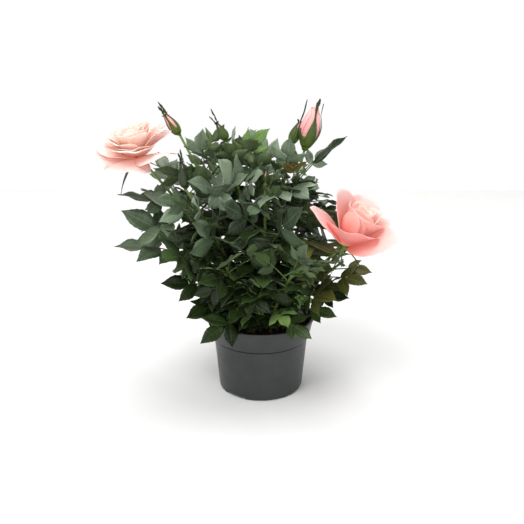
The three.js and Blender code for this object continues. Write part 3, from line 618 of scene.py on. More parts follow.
def petal_grid(bloom, whorl, turn, key):
    """The middle surface of a petal, with each point's way up from foot to rim."""
    tilt = radians(whorl.tilt)
    u = np.linspace(-1, 1, petal.across + 1)[None, :]
    v = np.linspace(0, 1, petal.along + 1)[:, None] ** 0.9
    rounded = petal.round * (1 - np.sqrt(1 - 0.985 * u * u))
    rim = v * (1 - rounded - petal.peak * whorl.point * np.abs(u - whorl.aside))
    half = whorl.width / 2 * np.sin(pi * (0.04 + 0.64 * rim)) ** 0.8
    steps = np.linspace(0, 1, petal.steps + 1)
    lip = np.clip((steps - petal.lip_from) / (1 - petal.lip_from), 0, 1) ** 1.4
    lean = radians(whorl.open) + radians(whorl.curl) * steps + radians(whorl.lip) * lip
    run = whorl.length / petal.steps
    outward = petal.foot + np.concatenate([[0], np.cumsum(np.sin((lean[1:] + lean[:-1]) / 2) * run)])
    upward = whorl.lift + np.concatenate([[0], np.cumsum(np.cos((lean[1:] + lean[:-1]) / 2) * run)])
    radius, height, lean = (np.interp(rim, steps, values) for values in (outward, upward, lean))
    around = u * half / whorl.cup
    ruffle = petal.ruffle * whorl.width / 36 * rim ** 3 * (
        np.sin(5.2 * u + 6.28 * chance(key, 1)) + 0.6 * np.sin(9.7 * u + 6.28 * chance(key, 2)) * rim ** 4)
    inward = whorl.cup * (1 - np.cos(around)) - whorl.roll * half * np.abs(u) ** 2.5 * rim ** 2
    inward = inward + petal.tuck * u * half + ruffle
    out = bloom.out(turn)
    height = height + inward * np.sin(lean)
    aslant = whorl.cup * np.sin(around)
    height, aslant = height * cos(tilt) - aslant * sin(tilt), aslant * cos(tilt) + height * sin(tilt)
    points = bloom.spot(height, out, radius - inward * np.cos(lean))
    points = points + np.multiply.outer(aslant, np.cross(out, bloom.axis))
    return points, rim + 0 * u


def grid_normals(points):
    """Unit normals of a grid of points."""
    across = np.gradient(points, axis=1)
    along = np.gradient(points, axis=0)
    normals = np.cross(across, along)
    return normals / np.maximum(np.linalg.norm(normals, axis=2, keepdims=True), 1e-9)


class Skin:
    """Gathers thin closed shells into one mesh, with a value at each point for the shader."""

    def __init__(self):
        self.points, self.faces, self.slots, self.values = [], [], [], {"rise": [], "depth": [], "side": []}

    def add_sheet(self, grid, thick, rise, depth=0.0, slots=(0, 0)):
        """A sheet whose front, where side is 0, is towards its normals. Its back has side 1."""
        rows, columns = grid.shape[0] - 1, grid.shape[1] - 1
        half = grid_normals(grid) * np.broadcast_to(thick, rise.shape)[..., None] / 2
        faces = shell_faces(rows, columns, sum(len(part) for part in self.points))
        self.points += [(grid + half).reshape(-1, 3), (grid - half).reshape(-1, 3)]
        self.faces += faces
        self.slots += [slots[0], slots[1]] * (rows * columns) + [slots[0]] * (2 * (rows + columns))
        for name, front, back in (("rise", rise, rise), ("depth", depth, depth), ("side", 0.0, 1.0)):
            self.values[name] += [np.broadcast_to(value, rise.shape).reshape(-1) for value in (front, back)]

    def add_solid(self, points, faces, rise=0.0):
        """A closed body of any shape, in the first finish."""
        first = sum(len(part) for part in self.points)
        self.points.append(np.asarray(points, float))
        self.faces += [[first + i for i in face] for face in faces]
        self.slots += [0] * len(faces)
        for name, value in (("rise", rise), ("depth", 0.0), ("side", 0.0)):
            self.values[name].append(np.broadcast_to(value, len(points)).astype(float))

    def made(self, name, finishes):
        body = piece(name, np.concatenate(self.points), self.faces, finishes)
        body.data.polygons.foreach_set("material_index", self.slots)
        for key, parts in self.values.items():
            mark(body.data, key, "FLOAT", np.concatenate(parts))
        return body


def turned_on(bloom, profile, sides):
    """Points and faces of a profile turned about a flower's axis."""
    points, faces = turned(profile, sides)
    return [bloom.origin + x * bloom.right + y * bloom.back + z * bloom.axis for x, y, z in points], faces


def petal_finish(name, inner, outer, heart, soak=0.6):
    """Petal flesh: both faces grade from foot to rim, the heart is yellower, and it all glows a little:
    painted light from an emission that stands in for light passing through the petals.
    """
    finish, tree, shader = new_finish(name, inner[1], 0.55, Specular_IOR_Level=0.25)
    place = flecked(tree, value_of(tree, "rise"), noise(tree, 160, 4), 0.16)
    colour = ramp(tree, place, inner)
    for share, stops in (("side", outer), ("depth", heart)):
        mix = node(tree, "ShaderNodeMix", [
            (0, value_of(tree, share)), (6, colour), (7, ramp(tree, place, stops))], data_type="RGBA")
        colour = mix.outputs[2]
    tree.links.new(colour, shader.inputs["Base Color"])
    # Painted light: the petal colour also glows, which lifts the shaded parts of the petals.
    tree.links.new(colour, shader.inputs["Emission Color"])
    shader.subsurface_method = "BURLEY"
    shader.inputs["Emission Strength"].default_value = 0.06
    shader.inputs["Subsurface Weight"].default_value = soak
    shader.inputs["Subsurface Radius"].default_value = (0.006, 0.003, 0.002)
    shader.inputs["Subsurface Scale"].default_value = 0.15
    shader.inputs["Sheen Weight"].default_value = 0.04
    return finish


def rose_petals(rose, bloom, number):
    """All the petals of a rose, each a little different from the others of its whorl."""
    skin = Skin()
    last = len(rose.whorls) - 1
    for ring, whorl in enumerate(rose.whorls):
        for i in range(whorl.petals):
            key = 100 * number + 10 * ring + i
            changed = copy(whorl)
            if ring > 0:
                changed.open = whorl.open + jitter(petal.varies, key, 3)
                changed.length = whorl.length * (1 + jitter(petal.grows, key, 4))
            turn = whorl.turn + 360 / whorl.petals * i
            if whorl.petals > 1:
                turn += jitter(petal.turns, key, 5)
            grid, rise = petal_grid(bloom, changed, turn, key)
            thick = petal.thick * (1 - 0.6 * rise)
            skin.add_sheet(grid, thick, rise, depth=(ring / last) ** 2)
    return skin


def sepal_grid(root, tip, across, up, width, crook):
    """A narrow leafy blade from root to tip, widest near its foot and drawn out to a crooked thread."""
    share = np.linspace(0, 1, 15)[:, None]
    u = np.linspace(-1, 1, 5)[None, :]
    bend = np.sin(pi * share) + 0.45 * np.sin(9 * share) * share
    middle = root + share * (tip - root) + crook * bend * across
    middle = middle + (0.5 + 0.4 * crook) * np.sin(pi * share) * up
    half = width / 2 * (np.clip(share / 0.2, 0, 1) ** 0.6) * (1 - share) ** 1.1 + 0.26
    twist = radians(rose_sepal.twist) * share[..., None]
    side = np.cos(twist) * across + np.sin(twist) * up
    grid = middle[:, None, :] + (half * u)[..., None] * side + (0.35 * half * u * u)[..., None] * up
    return grid, share + 0 * u


def rose_sepals(rose, bloom):
    """The sepals that show under an open rose, and the swollen hip they hang from."""
    skin = Skin()
    for turn, drop, length, width, crook in rose.sepals:
        out, drop = bloom.out(turn), radians(drop)
        root = bloom.spot(-0.3 * hip.height, out, hip.radius / 2)
        tip = root + out * length * cos(drop) - bloom.axis * length * sin(drop)
        grid, share = sepal_grid(root, tip, np.cross(out, bloom.axis), bloom.axis, width, crook)
        skin.add_sheet(grid, 0.5, share)
    hip_profile = [(0, -hip.height - 0.5), (hip.stalk, -hip.height), (1.5, -6), (2.9, -4.6), (3.5, -3),
                   (3.55, -1.6), (3.1, -0.4), (2.6, 0.6), (0, 0.8)]
    skin.add_solid(*turned_on(bloom, hip_profile, hip.sides))
    return skin


def green_finish(name, stops):
    """Green flesh that shades from root to tip along the rise attribute."""
    finish, tree, shader = new_finish(name, stops[0], 0.45, Specular_IOR_Level=0.4)
    fleck = noise(tree, 500, 4)
    place = flecked(tree, value_of(tree, "rise"), fleck, 0.3)
    tree.links.new(ramp(tree, place, stops), shader.inputs["Base Color"])
    bumped(tree, shader, fleck, 0.3, 0.0003)
    return finish


def bloom_of(flower):
    """The frame of a flower that sits on its shoot's tip."""
    return Bloom(paths[flower.shoot].at(1.0), flower.axis)


# Low in each ramp the deeper coral is partly the petals' own colour and partly painted shade deep in the
# flower.
blush_petals = petal_finish(
    "blush petals",
    {0: "f2a084", 0.15: "f2ae9c", 0.45: "f2c5bb", 0.75: "efd0cb", 1: "eed9d8"},
    {0: "f0dcb9", 0.25: "f0cac0", 0.65: "f0d4d0", 1: "eedddd"},
    {0: "f2b087", 0.35: "f2ccaf", 0.7: "f0dbca", 1: "efe5de"})
salmon_petals = petal_finish(
    "salmon petals",
    {0: "ea766a", 0.2: "ec988e", 0.5: "eeb4ae", 0.8: "ecc1bd", 1: "eacbca"},
    {0: "ecc49c", 0.2: "ea857e", 0.5: "eca29c", 0.85: "e9a7a5", 1: "e49ea0"},
    {0: "ea846e", 0.35: "eeae9c", 0.75: "eec8ba", 1: "ecd4ca"})
calyx_green = green_finish("calyx green", {0: "5c7a2c", 0.4: "3c5024", 1: "2a2f1e"})

for number, (name, rose) in enumerate(roses.items()):
    bloom = bloom_of(rose)
    flesh = blush_petals if name == "rose_left" else salmon_petals
    petals = rose_petals(rose, bloom, number).made(name + "_petals", [flesh])
    calyx = rose_sepals(rose, bloom).made(name + "_calyx", [calyx_green])
    for part, slot in ((petals, "rose_petals"), (calyx, "green_buds")):
        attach(part, "root")
        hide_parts(name)

# ---------------------------------------------------------------- buds
# Six closed or half-closed buds. Wrapped petals swell out of a green hip, and five long sepals hug them to
# the shoulder and end in thin twisted whips, some of them leafy.

# Of a bud's sepals, counted round from its turn, the long ones end in whips, the short ones stop half way up.
buds = table(("shoot", "axis", "length", "width", "sepal", "turn", "hug", "cover", "close", "belly", "dark",
              "leafy", "long", "short"), [
    ("bud_left", "left_bud", (-0.57, 0, 0.82), 25, 9.2, 35, 50, 0.86, 38, 1.1, 0.74, 0.0, 0.9, (0, 1, 4), ()),
    ("bud_dark", "dark_bud", (-0.12, 0, 1), 23, 8, 34, 50, 1.0, 42, 5, 0.7, 0.7, 0.8, (0, 1), ()),
    ("bud_top", "top_bud", (-0.5, 0, 0.87), 17, 8.4, 31, 30, 1.0, 42, 5, 0.7, 0.2, 1.3, (0, 2), ()),
    ("bud_middle", "middle_bud", (0.1, -0.3, 1), 11, 6, 15, 0, 1.0, 42, 2, 0.7, 0.3, 0.3, (0, 1, 2), ()),
    ("bud_right", "right_bud", (0.24, 0, 1), 43, 20, 48, 282, 0.78, 39, 1.3, 1.0, 0.1, 0.2, (0, 1), (4, 3)),
    ("bud_twin", "twin_bud", (0.36, 0, 0.93), 22, 9.5, 43, 80, 0.96, 42, 5, 0.8, 0.1, 0.1, (0,), ()),
])
wrap = Values(petals=4, span=210, start=0.1, under=0.78, thick=0.35, crest=0.94, lower=0.02, twist=40,
              across=18, along=16)
core = Values(start=0.3, length=0.67, width=0.72)
bud_sepal = Values(count=5, flare=0.3, whip=0.6, thick=0.45, start=0.08, shoulder=0.6, short=0.55, stub=0.12)


def bud_radius(bud, height):
    """A vase: slender at the foot, fullest at the belly and blunt at the tip."""
    share = np.clip(np.asarray(height, float) / bud.length, 0, 1)
    return bud.width / 2 * (0.24 + 0.86 * np.sin(pi * share ** bud.belly) ** 1.15) * (1 - 0.22 * share)


def around(bloom, height, radius, angle):
    """Points about a flower's axis."""
    out = np.cos(angle)[..., None] * bloom.right + np.sin(angle)[..., None] * bloom.back
    return bloom.origin + height[..., None] * bloom.axis + radius[..., None] * out


def bud_petals(bud, bloom):
    """Wrapped petals, each tucked under the next, round a blunt core."""
    skin = Skin()
    across = np.linspace(0, 1, wrap.across + 1)[None, :]
    up = np.linspace(0, 1, wrap.along + 1)[:, None]
    for k in range(wrap.petals):
        top = bud.length * (wrap.crest - wrap.lower * k) * (1 - 0.14 * np.abs(2 * across - 1) ** 2.4)
        height = wrap.start * bud.length + up * (top - wrap.start * bud.length)
        radius = bud_radius(bud, height) * (wrap.under + (1 - wrap.under) * across) - 0.25
        angle = np.radians(bud.turn + 360 / wrap.petals * k + wrap.span * (across - 0.5) + wrap.twist * up)
        skin.add_sheet(around(bloom, height, radius, angle), wrap.thick, 0.35 + 0.5 * up + 0.15 * across)
    profile = [(0, core.start * bud.length)]
    for share in np.linspace(core.start, core.start + core.length, 12):
        blunt = (1 - ((share - core.start) / core.length) ** 6) ** 0.5
        profile.append((float(bud_radius(bud, share * bud.length)) * core.width * blunt, share * bud.length))
    skin.add_solid(*turned_on(bloom, profile, hip.sides), rise=0.8)
    return skin


def bud_sepals(bud, bloom, number):
    """The hip and the sepals: each covers its share of the bud, narrows, and runs out in a whip."""
    skin = Skin()
    low, shoulder = bud_sepal.start * bud.length, bud_sepal.shoulder
    up = np.concatenate([np.linspace(0, shoulder, 13), np.linspace(shoulder + 0.04, 1, 10)])[:, None]
    u = np.linspace(-1, 1, 7)[None, :]
    past = np.clip((up - shoulder) / (1 - shoulder), 0, 1)
    cover = radians(bud.cover) * (1 - np.clip(up / shoulder, 0, 1) ** bud.close)
    lobes = np.exp(-((past - 0.3) / 0.12) ** 2) + 0.8 * np.exp(-((past - 0.68) / 0.12) ** 2)
    slim = bud_sepal.whip * (1 - past) ** 0.7 + 0.2 + bud.leafy * lobes
    for i in range(bud_sepal.count):
        turn = bud.turn + 360 / bud_sepal.count * i
        hug = bud.hug * bud.length * (bud_sepal.short if i in bud.short else 1)
        reach = bud.sepal * (1 - 0.08 * i) if i in bud.long else hug + (bud.sepal - hug) * bud_sepal.stub
        height = np.where(up < shoulder, low + up / shoulder * (hug - low), hug + past * (reach - hug))
        body = bud_radius(bud, height) + 0.35
        half = np.maximum(cover * body, slim)
        away = bud_radius(bud, hug) + (bud_sepal.flare * bud.width - bud_radius(bud, hug)) * past
        curl = (0.9 * np.sin(5 * past) + 1.2 * jitter(1, number, i, 42)) * past
        curl = curl * (1 if i in bud.long else 0.2)
        radius = np.where(up < shoulder, body, away + 0.35) + 0 * u
        angle = radians(turn) + u * half / np.maximum(body, 2.2)
        side = np.cross(bloom.out(turn), bloom.axis)
        grid = around(bloom, height + 0 * u, radius, angle) + (curl + 0 * u)[..., None] * side
        skin.add_sheet(grid, bud_sepal.thick * (1 + 0.7 * past), up + bud.dark + 0 * u)
    heights = np.linspace(0, 0.3 * bud.length, 7)
    profile = [(0, -1.2), (1.0, -1.2), (1.25, -0.5)]
    profile += [(float(bud_radius(bud, z)) + 0.15 * (1 - z / heights[-1]), z) for z in heights]
    profile += [(0, heights[-1])]
    skin.add_solid(*turned_on(bloom, profile, hip.sides), rise=0.6 * bud.dark)
    return skin


bud_outer = {0: "f0ac8c", 0.5: "f09e9a", 1: "f2acaa"}
bud_inner = {0: "f0ac8c", 0.4: "f0a29c", 0.75: "f2a9a6", 1: "f4bcb8"}
# The bud petals glow faintly too, with the same painted light.
bud_pink = petal_finish("bud petals", bud_inner, bud_outer, bud_outer, soak=0)
bud_green = green_finish("bud green", {0: "5d7429", 0.3: "4a5f22", 0.6: "3a4b22", 1: "2a3422"})

for number, (name, bud) in enumerate(buds.items()):
    bloom = bloom_of(bud)
    petals = bud_petals(bud, bloom).made(name + "_petals", [bud_pink])
    calyx = bud_sepals(bud, bloom, number).made(name + "_sepals", [bud_green])
    for part, slot in ((petals, "rose_petals"), (calyx, "green_buds")):
        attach(part, "root")
        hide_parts(name)

# ---------------------------------------------------------------- leaves
# Compound leaves: an arched stalk with an end leaflet and one or two pairs below it, all toothed, folded
# along the midrib and puckered between the veins. Dark and waxy on top, dull and pale underneath.

leaf = Values(
    reach=92, spare=16, least=42, arch=0.1, steps=2, stalk_end=0.54, lone_end=0.36, stalk_radius=0.9,
    stalk_taper=0.55, pairs=[(0.43, 0.86, 52), (0.27, 0.7, 64)], stagger=0.012, spread=9, width=0.6,
    fold=0.2, sag=0.12, sways=0.14, varies=0.1,
)
# How near leaves come to each other and to all else, and how closely blades and limbs are tried.
gap = Values(blade=1.0, stalk=1.4, petal=2.5, bud=1.4, soil=1.4, along=14, across=[-1, -0.5, 0, 0.5, 1],
             limb_step=2.5, bud_step=2.5, collar_turns=96, collar_drops=(1, 7, 13))
crown = Values(low=70, heart=150, widest_at=160, top=262, low_radius=58, radius=118, depth=0.92, middle=-8,
               leaning_from=140, leaning_to=200, leans=-0.4)
habit = Values(swing=8, span=80, wider=2, droop=-24, lift=74, sway=16, shrink=0.015, tries=24, two_pairs=0.3,
               slide=0.02, up=0.55, twist=0.3, outline_from=1000)
to_front = (0, -0.8, 0.6)
# The leaves that set the outline and the front: shoot, share of the way up, tip, pairs and colour, then the
# way the leaf faces where that isn't to the front. Of the colours, pale, dark, mid and shade are one green
# with painted light and shade, lighter high up and darker low down.
outline_leaves = [
    ("right_bud", 0.62, (76, -12, 250), 0, "shade", (-0.77, -0.1, 0.64)),
    ("left_low", 0.99, (-135, -22, 152), 2, "dark", (0.2, -0.2, 0.95)),
    ("left_low", 0.88, (-124, -30, 186), 1, "dark"),
    ("left_rose", 0.6, (-126, -34, 202), 1, "dark", (0, -0.3, 1)),
    ("dark_bud", 0.6, (-55, -84, 188), 1, "dark"),
    ("dark_bud", 0.76, (-88, -62, 204), 1, "dark"),
    ("top_bud", 0.72, (-62, -46, 216), 2, "pale"),
    ("middle_bud", 0.72, (-33, -64, 200), 2, "dark"),
    ("top_bud", 0.84, (2, -46, 222), 2, "pale"),
    ("back_left", 0.97, (-54, 4, 252), 2, "pale"),
    ("twin_bud", 0.72, (-9, 2, 254), 2, "pale"),
    ("right_bud", 0.7, (64, 6, 236), 1, "pale"),
    ("middle_bud", 0.88, (-9, -76, 193), 2, "dark"),
    ("middle_bud", 0.6, (34, -72, 198), 1, "dark"),
    ("front_right", 0.82, (38, -80, 168), 1, "dark"),
    ("front_right", 0.9, (-6, -76, 160), 1, "mid"),
    ("front_right", 0.98, (30, -96, 150), 1, "mid"),
    ("left_low", 0.6, (-92, -30, 117), 1, "shade"),
    ("front_left", 0.4, (-54, -66, 72), 1, "shade"),
    ("front_left", 0.75, (9, -70, 102), 1, "shade"),
    ("front_left", 0.6, (-26, -76, 96), 1, "shade"),
    ("front_right", 0.5, (24, -76, 92), 2, "bright"),
    ("front_right", 0.3, (46, -60, 74), 1, "mid"),
    ("middle_bud", 0.5, (2, -84, 134), 1, "mid"),
    ("dark_bud", 0.45, (-52, -76, 134), 1, "mid"),
    ("right_low", 0.35, (72, -26, 82), 1, "mid"),
    ("right_low", 0.7, (72, -42, 114), 2, "olive"),
    ("right_low", 0.9, (104, -20, 124), 1, "olive"),
    ("left_rose", 0.78, (-118, 14, 190), 1, "dark"),
    ("left_rose", 0.82, (-98, 26, 230), 1, "pale"),
    ("top_bud", 0.9, (8, -12, 256), 1, "bright"),
    ("top_bud", 0.6, (-34, -58, 236), 1, "pale"),
    ("twin_bud", 0.84, (26, -26, 250), 1, "pale"),
]


class Leaflet:
    """A flat frame for one leaflet: its base, the way it points, the way it faces and its length."""

    def __init__(self, base, axis, face, length):
        self.base, self.axis, self.length = base, axis, length
        self.normal = unit(face - (face @ axis) * axis)
        self.side = np.cross(axis, self.normal)
        self.half = leaf.width * length / 2


class Leaf:
    """A compound leaf from its foot on a shoot to its tip. Its key deals out its small differences."""

    def __init__(self, start, tip, face, pairs, key):
        face = np.array(face, float)
        knee = start + 0.5 * (tip - start) + UP * leaf.arch * np.linalg.norm(tip - start)
        self.stalk, self.key, self.tint = Bend(start, knee, tip), key, "dark"
        self.ends = leaf.stalk_end if pairs else leaf.lone_end
        end = self.joint(self.ends)
        self.end_length = float(np.linalg.norm(tip - end))
        self.face = face
        self.leaflets = [Leaflet(end, unit(tip - end), face, self.end_length)]
        self.pairs = 0
        for _ in range(pairs):
            self.leaflets += self.next_pair()
            self.pairs += 1

    def joint(self, share):
        """A point of the stalk, which bends in a few straight steps."""
        step = leaf.stalk_end / leaf.steps
        first = min(int(share / step), leaf.steps - 1)
        here, there = self.stalk.at(first * step), self.stalk.at((first + 1) * step)
        return here + (there - here) * (share / step - first)

    def next_pair(self):
        """The next pair down the stalk."""
        share, size, spread = leaf.pairs[self.pairs]
        made = []
        for hand in (-1, 1):
            turn_key, sag_key, size_key = [(self.key, self.pairs, hand + 1, last) for last in (1, 2, 3)]
            way = self.stalk.way(share)
            normal = unit(self.face - (self.face @ way) * way)
            out = np.cross(way, normal) * hand
            angle = radians(spread + jitter(leaf.spread, *turn_key))
            sag = -leaf.sag + jitter(leaf.sways, *sag_key)
            axis = unit(way * cos(angle) + out * sin(angle) + normal * sag)
            length = self.end_length * size * (1 + jitter(leaf.varies, *size_key))
            made.append(Leaflet(self.joint(share + hand * leaf.stagger), axis, normal + 0.15 * out, length))
        return made


def blade_width(share):
    """How wide a blade is along its length, as a share of its widest."""
    return np.sin(pi * np.clip(share, 0, 1) ** 0.87)


def blade_points(leaflets):
    """Points all over some leaflets, to try against other blades."""
    shares = np.arange(1, gap.along + 1)[:, None] / gap.along
    hands = np.array(gap.across, float)[None, :]
    spots = []
    for one in leaflets:
        across = hands * blade_width(shares) * one.half
        along = (shares + 0 * hands)[..., None] * one.length * one.axis
        raised = (leaf.fold * np.abs(across))[..., None] * one.normal
        spots.append((one.base + along + across[..., None] * one.side + raised).reshape(-1, 3))
    return np.concatenate(spots)


def in_blade(points, one, distance):
    """Which of the points lie inside a leaflet's folded blade or nearer to it than a distance."""
    offset = points - one.base
    along, across, through = offset @ one.axis, np.abs(offset @ one.side), offset @ one.normal
    wide = blade_width(along / one.length) * one.half + distance
    return ((along >= -distance) & (along <= one.length + distance) & (across <= wide)
            & (np.abs(through - leaf.fold * across) < distance))


def limb_points(path, first, last, radius_at):
    """Rows of x, y, z and radius along a stretch of a path."""
    count = ceil(path.length() * (last - first) / gap.limb_step)
    shares = first + (last - first) * np.arange(count + 1) / count
    return np.column_stack([path.at(shares), [radius_at(share) for share in shares]])


def rose_points(rose, bloom):
    """Points all over a rose's petals and sepals, and how far leaves keep clear of them."""
    spots = [petal_grid(bloom, whorl, whorl.turn + 360 / whorl.petals * i, 0)[0][3::3, ::3].reshape(-1, 3)
             for whorl in rose.whorls for i in range(whorl.petals)]
    for i in range(rose_sepal.count):
        out = bloom.out(rose.sepal_turn + 360 / rose_sepal.count * (i + 0.5))
        way = out * cos(radians(rose_sepal.drop)) - bloom.axis * sin(radians(rose_sepal.drop))
        root = bloom.spot(-0.3 * hip.height, out, hip.radius / 2)
        spots.append(root + np.linspace(0.15, 1, 9)[:, None] * rose_sepal.length * way)
    spots = np.concatenate(spots)
    return np.column_stack([spots, np.full(len(spots), gap.petal)])


def bud_points(bud, bloom):
    """Points up a bud's middle, and how far leaves keep clear of them."""
    count = ceil(bud.sepal / gap.bud_step)
    height = bud.sepal * np.arange(count + 1) / count
    wide = np.maximum(bud_radius(bud, height), bud_sepal.flare * bud.width * np.arange(count + 1) / count)
    return np.column_stack([bloom.origin + height[:, None] * bloom.axis, wide + gap.bud])


def collar_points():
    """Points round the pot's collar, and how far leaves keep clear of them."""
    slope = (pot.rim - pot.collar) / (pot.height - pot.collar_from)
    turns = np.arange(gap.collar_turns) * 2 * pi / gap.collar_turns
    rings = []
    for drop in gap.collar_drops:
        radius = pot.rim - pot.wall / 2 - slope * drop
        level = np.full(len(turns), pot.height - drop)
        rings.append(np.column_stack([radius * np.cos(turns), radius * np.sin(turns), level,
                                      np.full(len(turns), pot.wall)]))
    return np.concatenate(rings)


class Space:
    """What is in place so far, so that a new leaf can be tried against it."""

    def __init__(self, limbs, flowers):
        self.limbs, self.flowers, self.blades, self.points = limbs, flowers, [], np.empty((0, 3))

    def near(self, points, middle, reach):
        """Those of the points that are within reach of a middle."""
        return points[((points[:, :3] - middle) ** 2).sum(1) < reach * reach]

    def takes(self, stalk, leaflets, start, blade_gap, stalk_gap, beside=True):
        """The points of the leaflets and of any stalk, when they are clear of everything else."""
        points = blade_points(leaflets)
        if ((points[:, 2] < soil.top + gap.soil) & (np.hypot(points[:, 0], points[:, 1]) < pot.rim)).any():
            return None
        middle = points.mean(0)
        reach = np.sqrt(((points - middle) ** 2).sum(1).max()) + 8
        others = self.near(self.points, middle, reach)
        bodies = np.concatenate([self.flowers, self.limbs]) if beside else self.flowers
        solid = self.near(bodies, middle, reach + 3)
        for one in leaflets:
            if in_blade(others, one, blade_gap).any():
                return None
            if in_blade(solid[:, :3], one, solid[:, 3] + blade_gap).any():
                return None
        rows = np.empty((0, 4))
        if stalk is not None:
            rows = limb_points(stalk, 0.02, leaf.stalk_end, lambda share: leaf.stalk_radius)
        if stalk is not None and beside:
            past = rows[np.linalg.norm(rows[:, :3] - start, axis=1) > 5]
            nearby = self.near(bodies, rows[:, :3].mean(0), 60)
            apart = np.linalg.norm(past[:, None, :3] - nearby[None, :, :3], axis=2)
            if (apart < past[:, None, 3] + nearby[None, :, 3] + blade_gap).any():
                return None
        for one in self.blades:
            if np.linalg.norm(one.base + one.axis * one.length / 2 - middle) > reach + one.length:
                continue
            if in_blade(points, one, blade_gap).any() or in_blade(rows[:, :3], one, stalk_gap).any():
                return None
        return points, rows

    def place(self, leaflets, found):
        """Keeps the leaflets and the stalk whose points were found clear."""
        self.blades += leaflets
        self.points = np.concatenate([self.points, found[0]])
        self.limbs = np.concatenate([self.limbs, found[1]])


def in_crown(spot):
    """Whether a spot is inside the crown, a goblet that leans to the left at the top."""
    if spot[2] < crown.low or spot[2] > crown.top:
        return False
    below = (spot[2] - crown.low) / (crown.widest_at - crown.low)
    above = (spot[2] - crown.widest_at) / (crown.top - crown.widest_at)
    if above < 0:
        reach = crown.low_radius + (crown.radius - crown.low_radius) * below ** 1.8
    else:
        reach = crown.radius * (1 - above ** 1.3) ** 0.5
    leaning = min(max(spot[2], crown.leaning_from), crown.leaning_to) - crown.leaning_from
    middle = crown.middle + crown.leans * leaning
    return hypot(spot[0] - middle, spot[1] / crown.depth) < reach


def outline_leaf(path, plan, number, attempt):
    """A leaf of the tables, whose foot slides up and down its shoot until it finds room."""
    _, share, tip, pairs, tint, *faces = plan
    shift = habit.slide * (1 if attempt % 2 else -1) * ceil(attempt / 2)
    start, face = path.at(min(share + shift, 0.99)), faces[0] if faces else to_front
    made = Leaf(start, np.array(tip, float), face, pairs, habit.outline_from + number)
    made.tint = tint
    return made


def slant(heading, rise):
    """The way of a leaf, from its turn about the plant and how steeply it climbs."""
    return np.array([cos(heading) * cos(rise), sin(heading) * cos(rise), sin(rise)])


def kept_in(start, way, reach, least, inner=1):
    """The most of a reach that ends inside the crown, or None when even the least doesn't."""
    while reach > least and not in_crown(start + way * reach / inner ** 0.5):
        reach -= 3
    return None if reach < least else reach


def facing(outward, manner, key):
    """The way a leaf faces: outward, partly up and a little twisted."""
    twist = np.array([jitter(manner.twist, *key, 4), jitter(manner.twist, *key, 5), 0])
    return outward + manner.up * UP + twist


def ruled_leaf(shoot, path, index, number, attempt):
    """Any other leaf: left and right of the way out by turns, hanging low down and rising high up."""
    key = (index, number, attempt)
    first, last = shoot.leafy
    share = first + (last - first) * (number + 0.5 + jitter(0.35, *key, 7)) / shoot.leaves
    start = path.at(share)
    outward = unit(np.array([(start[0] - crown.middle) / crown.radius,
                             start[1] / (crown.depth * crown.radius),
                             (start[2] - crown.heart) / (crown.top - crown.heart)]))
    swing = habit.swing + (habit.span + habit.wider * attempt) * chance(*key, 1)
    heading = atan2(outward[1], outward[0]) + radians(swing if number % 2 else -swing)
    height = (start[2] - crown.low) / (crown.top - crown.low)
    way = slant(heading, radians(habit.droop + habit.lift * height + jitter(habit.sway, *key, 2)))
    reach = (leaf.reach - leaf.spare * chance(index, number, 3)) * (1 - habit.shrink * attempt)
    reach = kept_in(start, way, reach, leaf.least)
    if reach is None:
        return None
    pairs = 2 if chance(index, number, 6) < habit.two_pairs else 1
    made = Leaf(start, start + way * reach, facing(outward, habit, key), pairs, 40 * index + number)
    made.tint = leaf_tint(made)
    return made


def leaf_tint(one):
    """A leaf's colour by place: painted light and shade, grey green lit on top and dark green in the shade
    below, and the leaves' own bronze low on the right.
    """
    tip = one.stalk.tip
    draw = chance(one.key, 77)
    if tip[0] > 36 and tip[2] < 160 and draw < 0.6:
        return "olive"
    if tip[2] < 125:
        return "mid" if draw < 0.3 else "shade" if draw < 0.92 else "bright"
    if tip[2] < 195:
        return "dark" if draw < 0.26 else "mid" if draw < 0.5 else "shade"
    return "pale" if draw < 0.6 else "dark" if draw < 0.9 else "mid"


def grow(make, tries=habit.tries, blade_gap=gap.blade, stalk_gap=gap.stalk, beside=True):
    """Tries a leaf a few times, and keeps the first that finds room."""
    for attempt in range(tries):
        made = make(attempt)
        found = made and space.takes(made.stalk, made.leaflets, made.stalk.start, blade_gap, stalk_gap,
                                     beside)
        if found:
            space.place(made.leaflets, found)
            return [made]
    return []


obstacles = [collar_points()]
obstacles += [rose_points(rose, bloom_of(rose)) for rose in roses.values()]
obstacles += [bud_points(bud, bloom_of(bud)) for bud in buds.values()]
limb_rows = [limb_points(path, 0, 1, stem_radius) for path in paths.values()]
space = Space(np.concatenate(limb_rows), np.concatenate(obstacles))
leaves = []
for number, plan in enumerate(outline_leaves):
    leaves += grow(lambda attempt: outline_leaf(paths[plan[0]], plan, number, attempt))
for index, (name, shoot) in enumerate(shoots.items()):
    for number in range(shoot.leaves):
        leaves += grow(lambda attempt: ruled_leaf(shoot, paths[name], index, number, attempt))

# Finer growth within the same crown: a lower pair on the leaves that have only one, then shorter leaves that
# turn any way from every shoot and fill the shade between the others. The smallest start only low down.
filling = Values(first_key=4000, tries=10, gap=0.1, low=1.5, droop=-26, lift=66, sway=34, up=0.8, twist=0.4,
                 two_pairs=0.6, sizes=[Values(rounds=40, reach=84, less=36, least=34, inner=0.86, top=250),
                                       Values(rounds=34, reach=54, less=24, least=24, inner=0.72, top=150)])
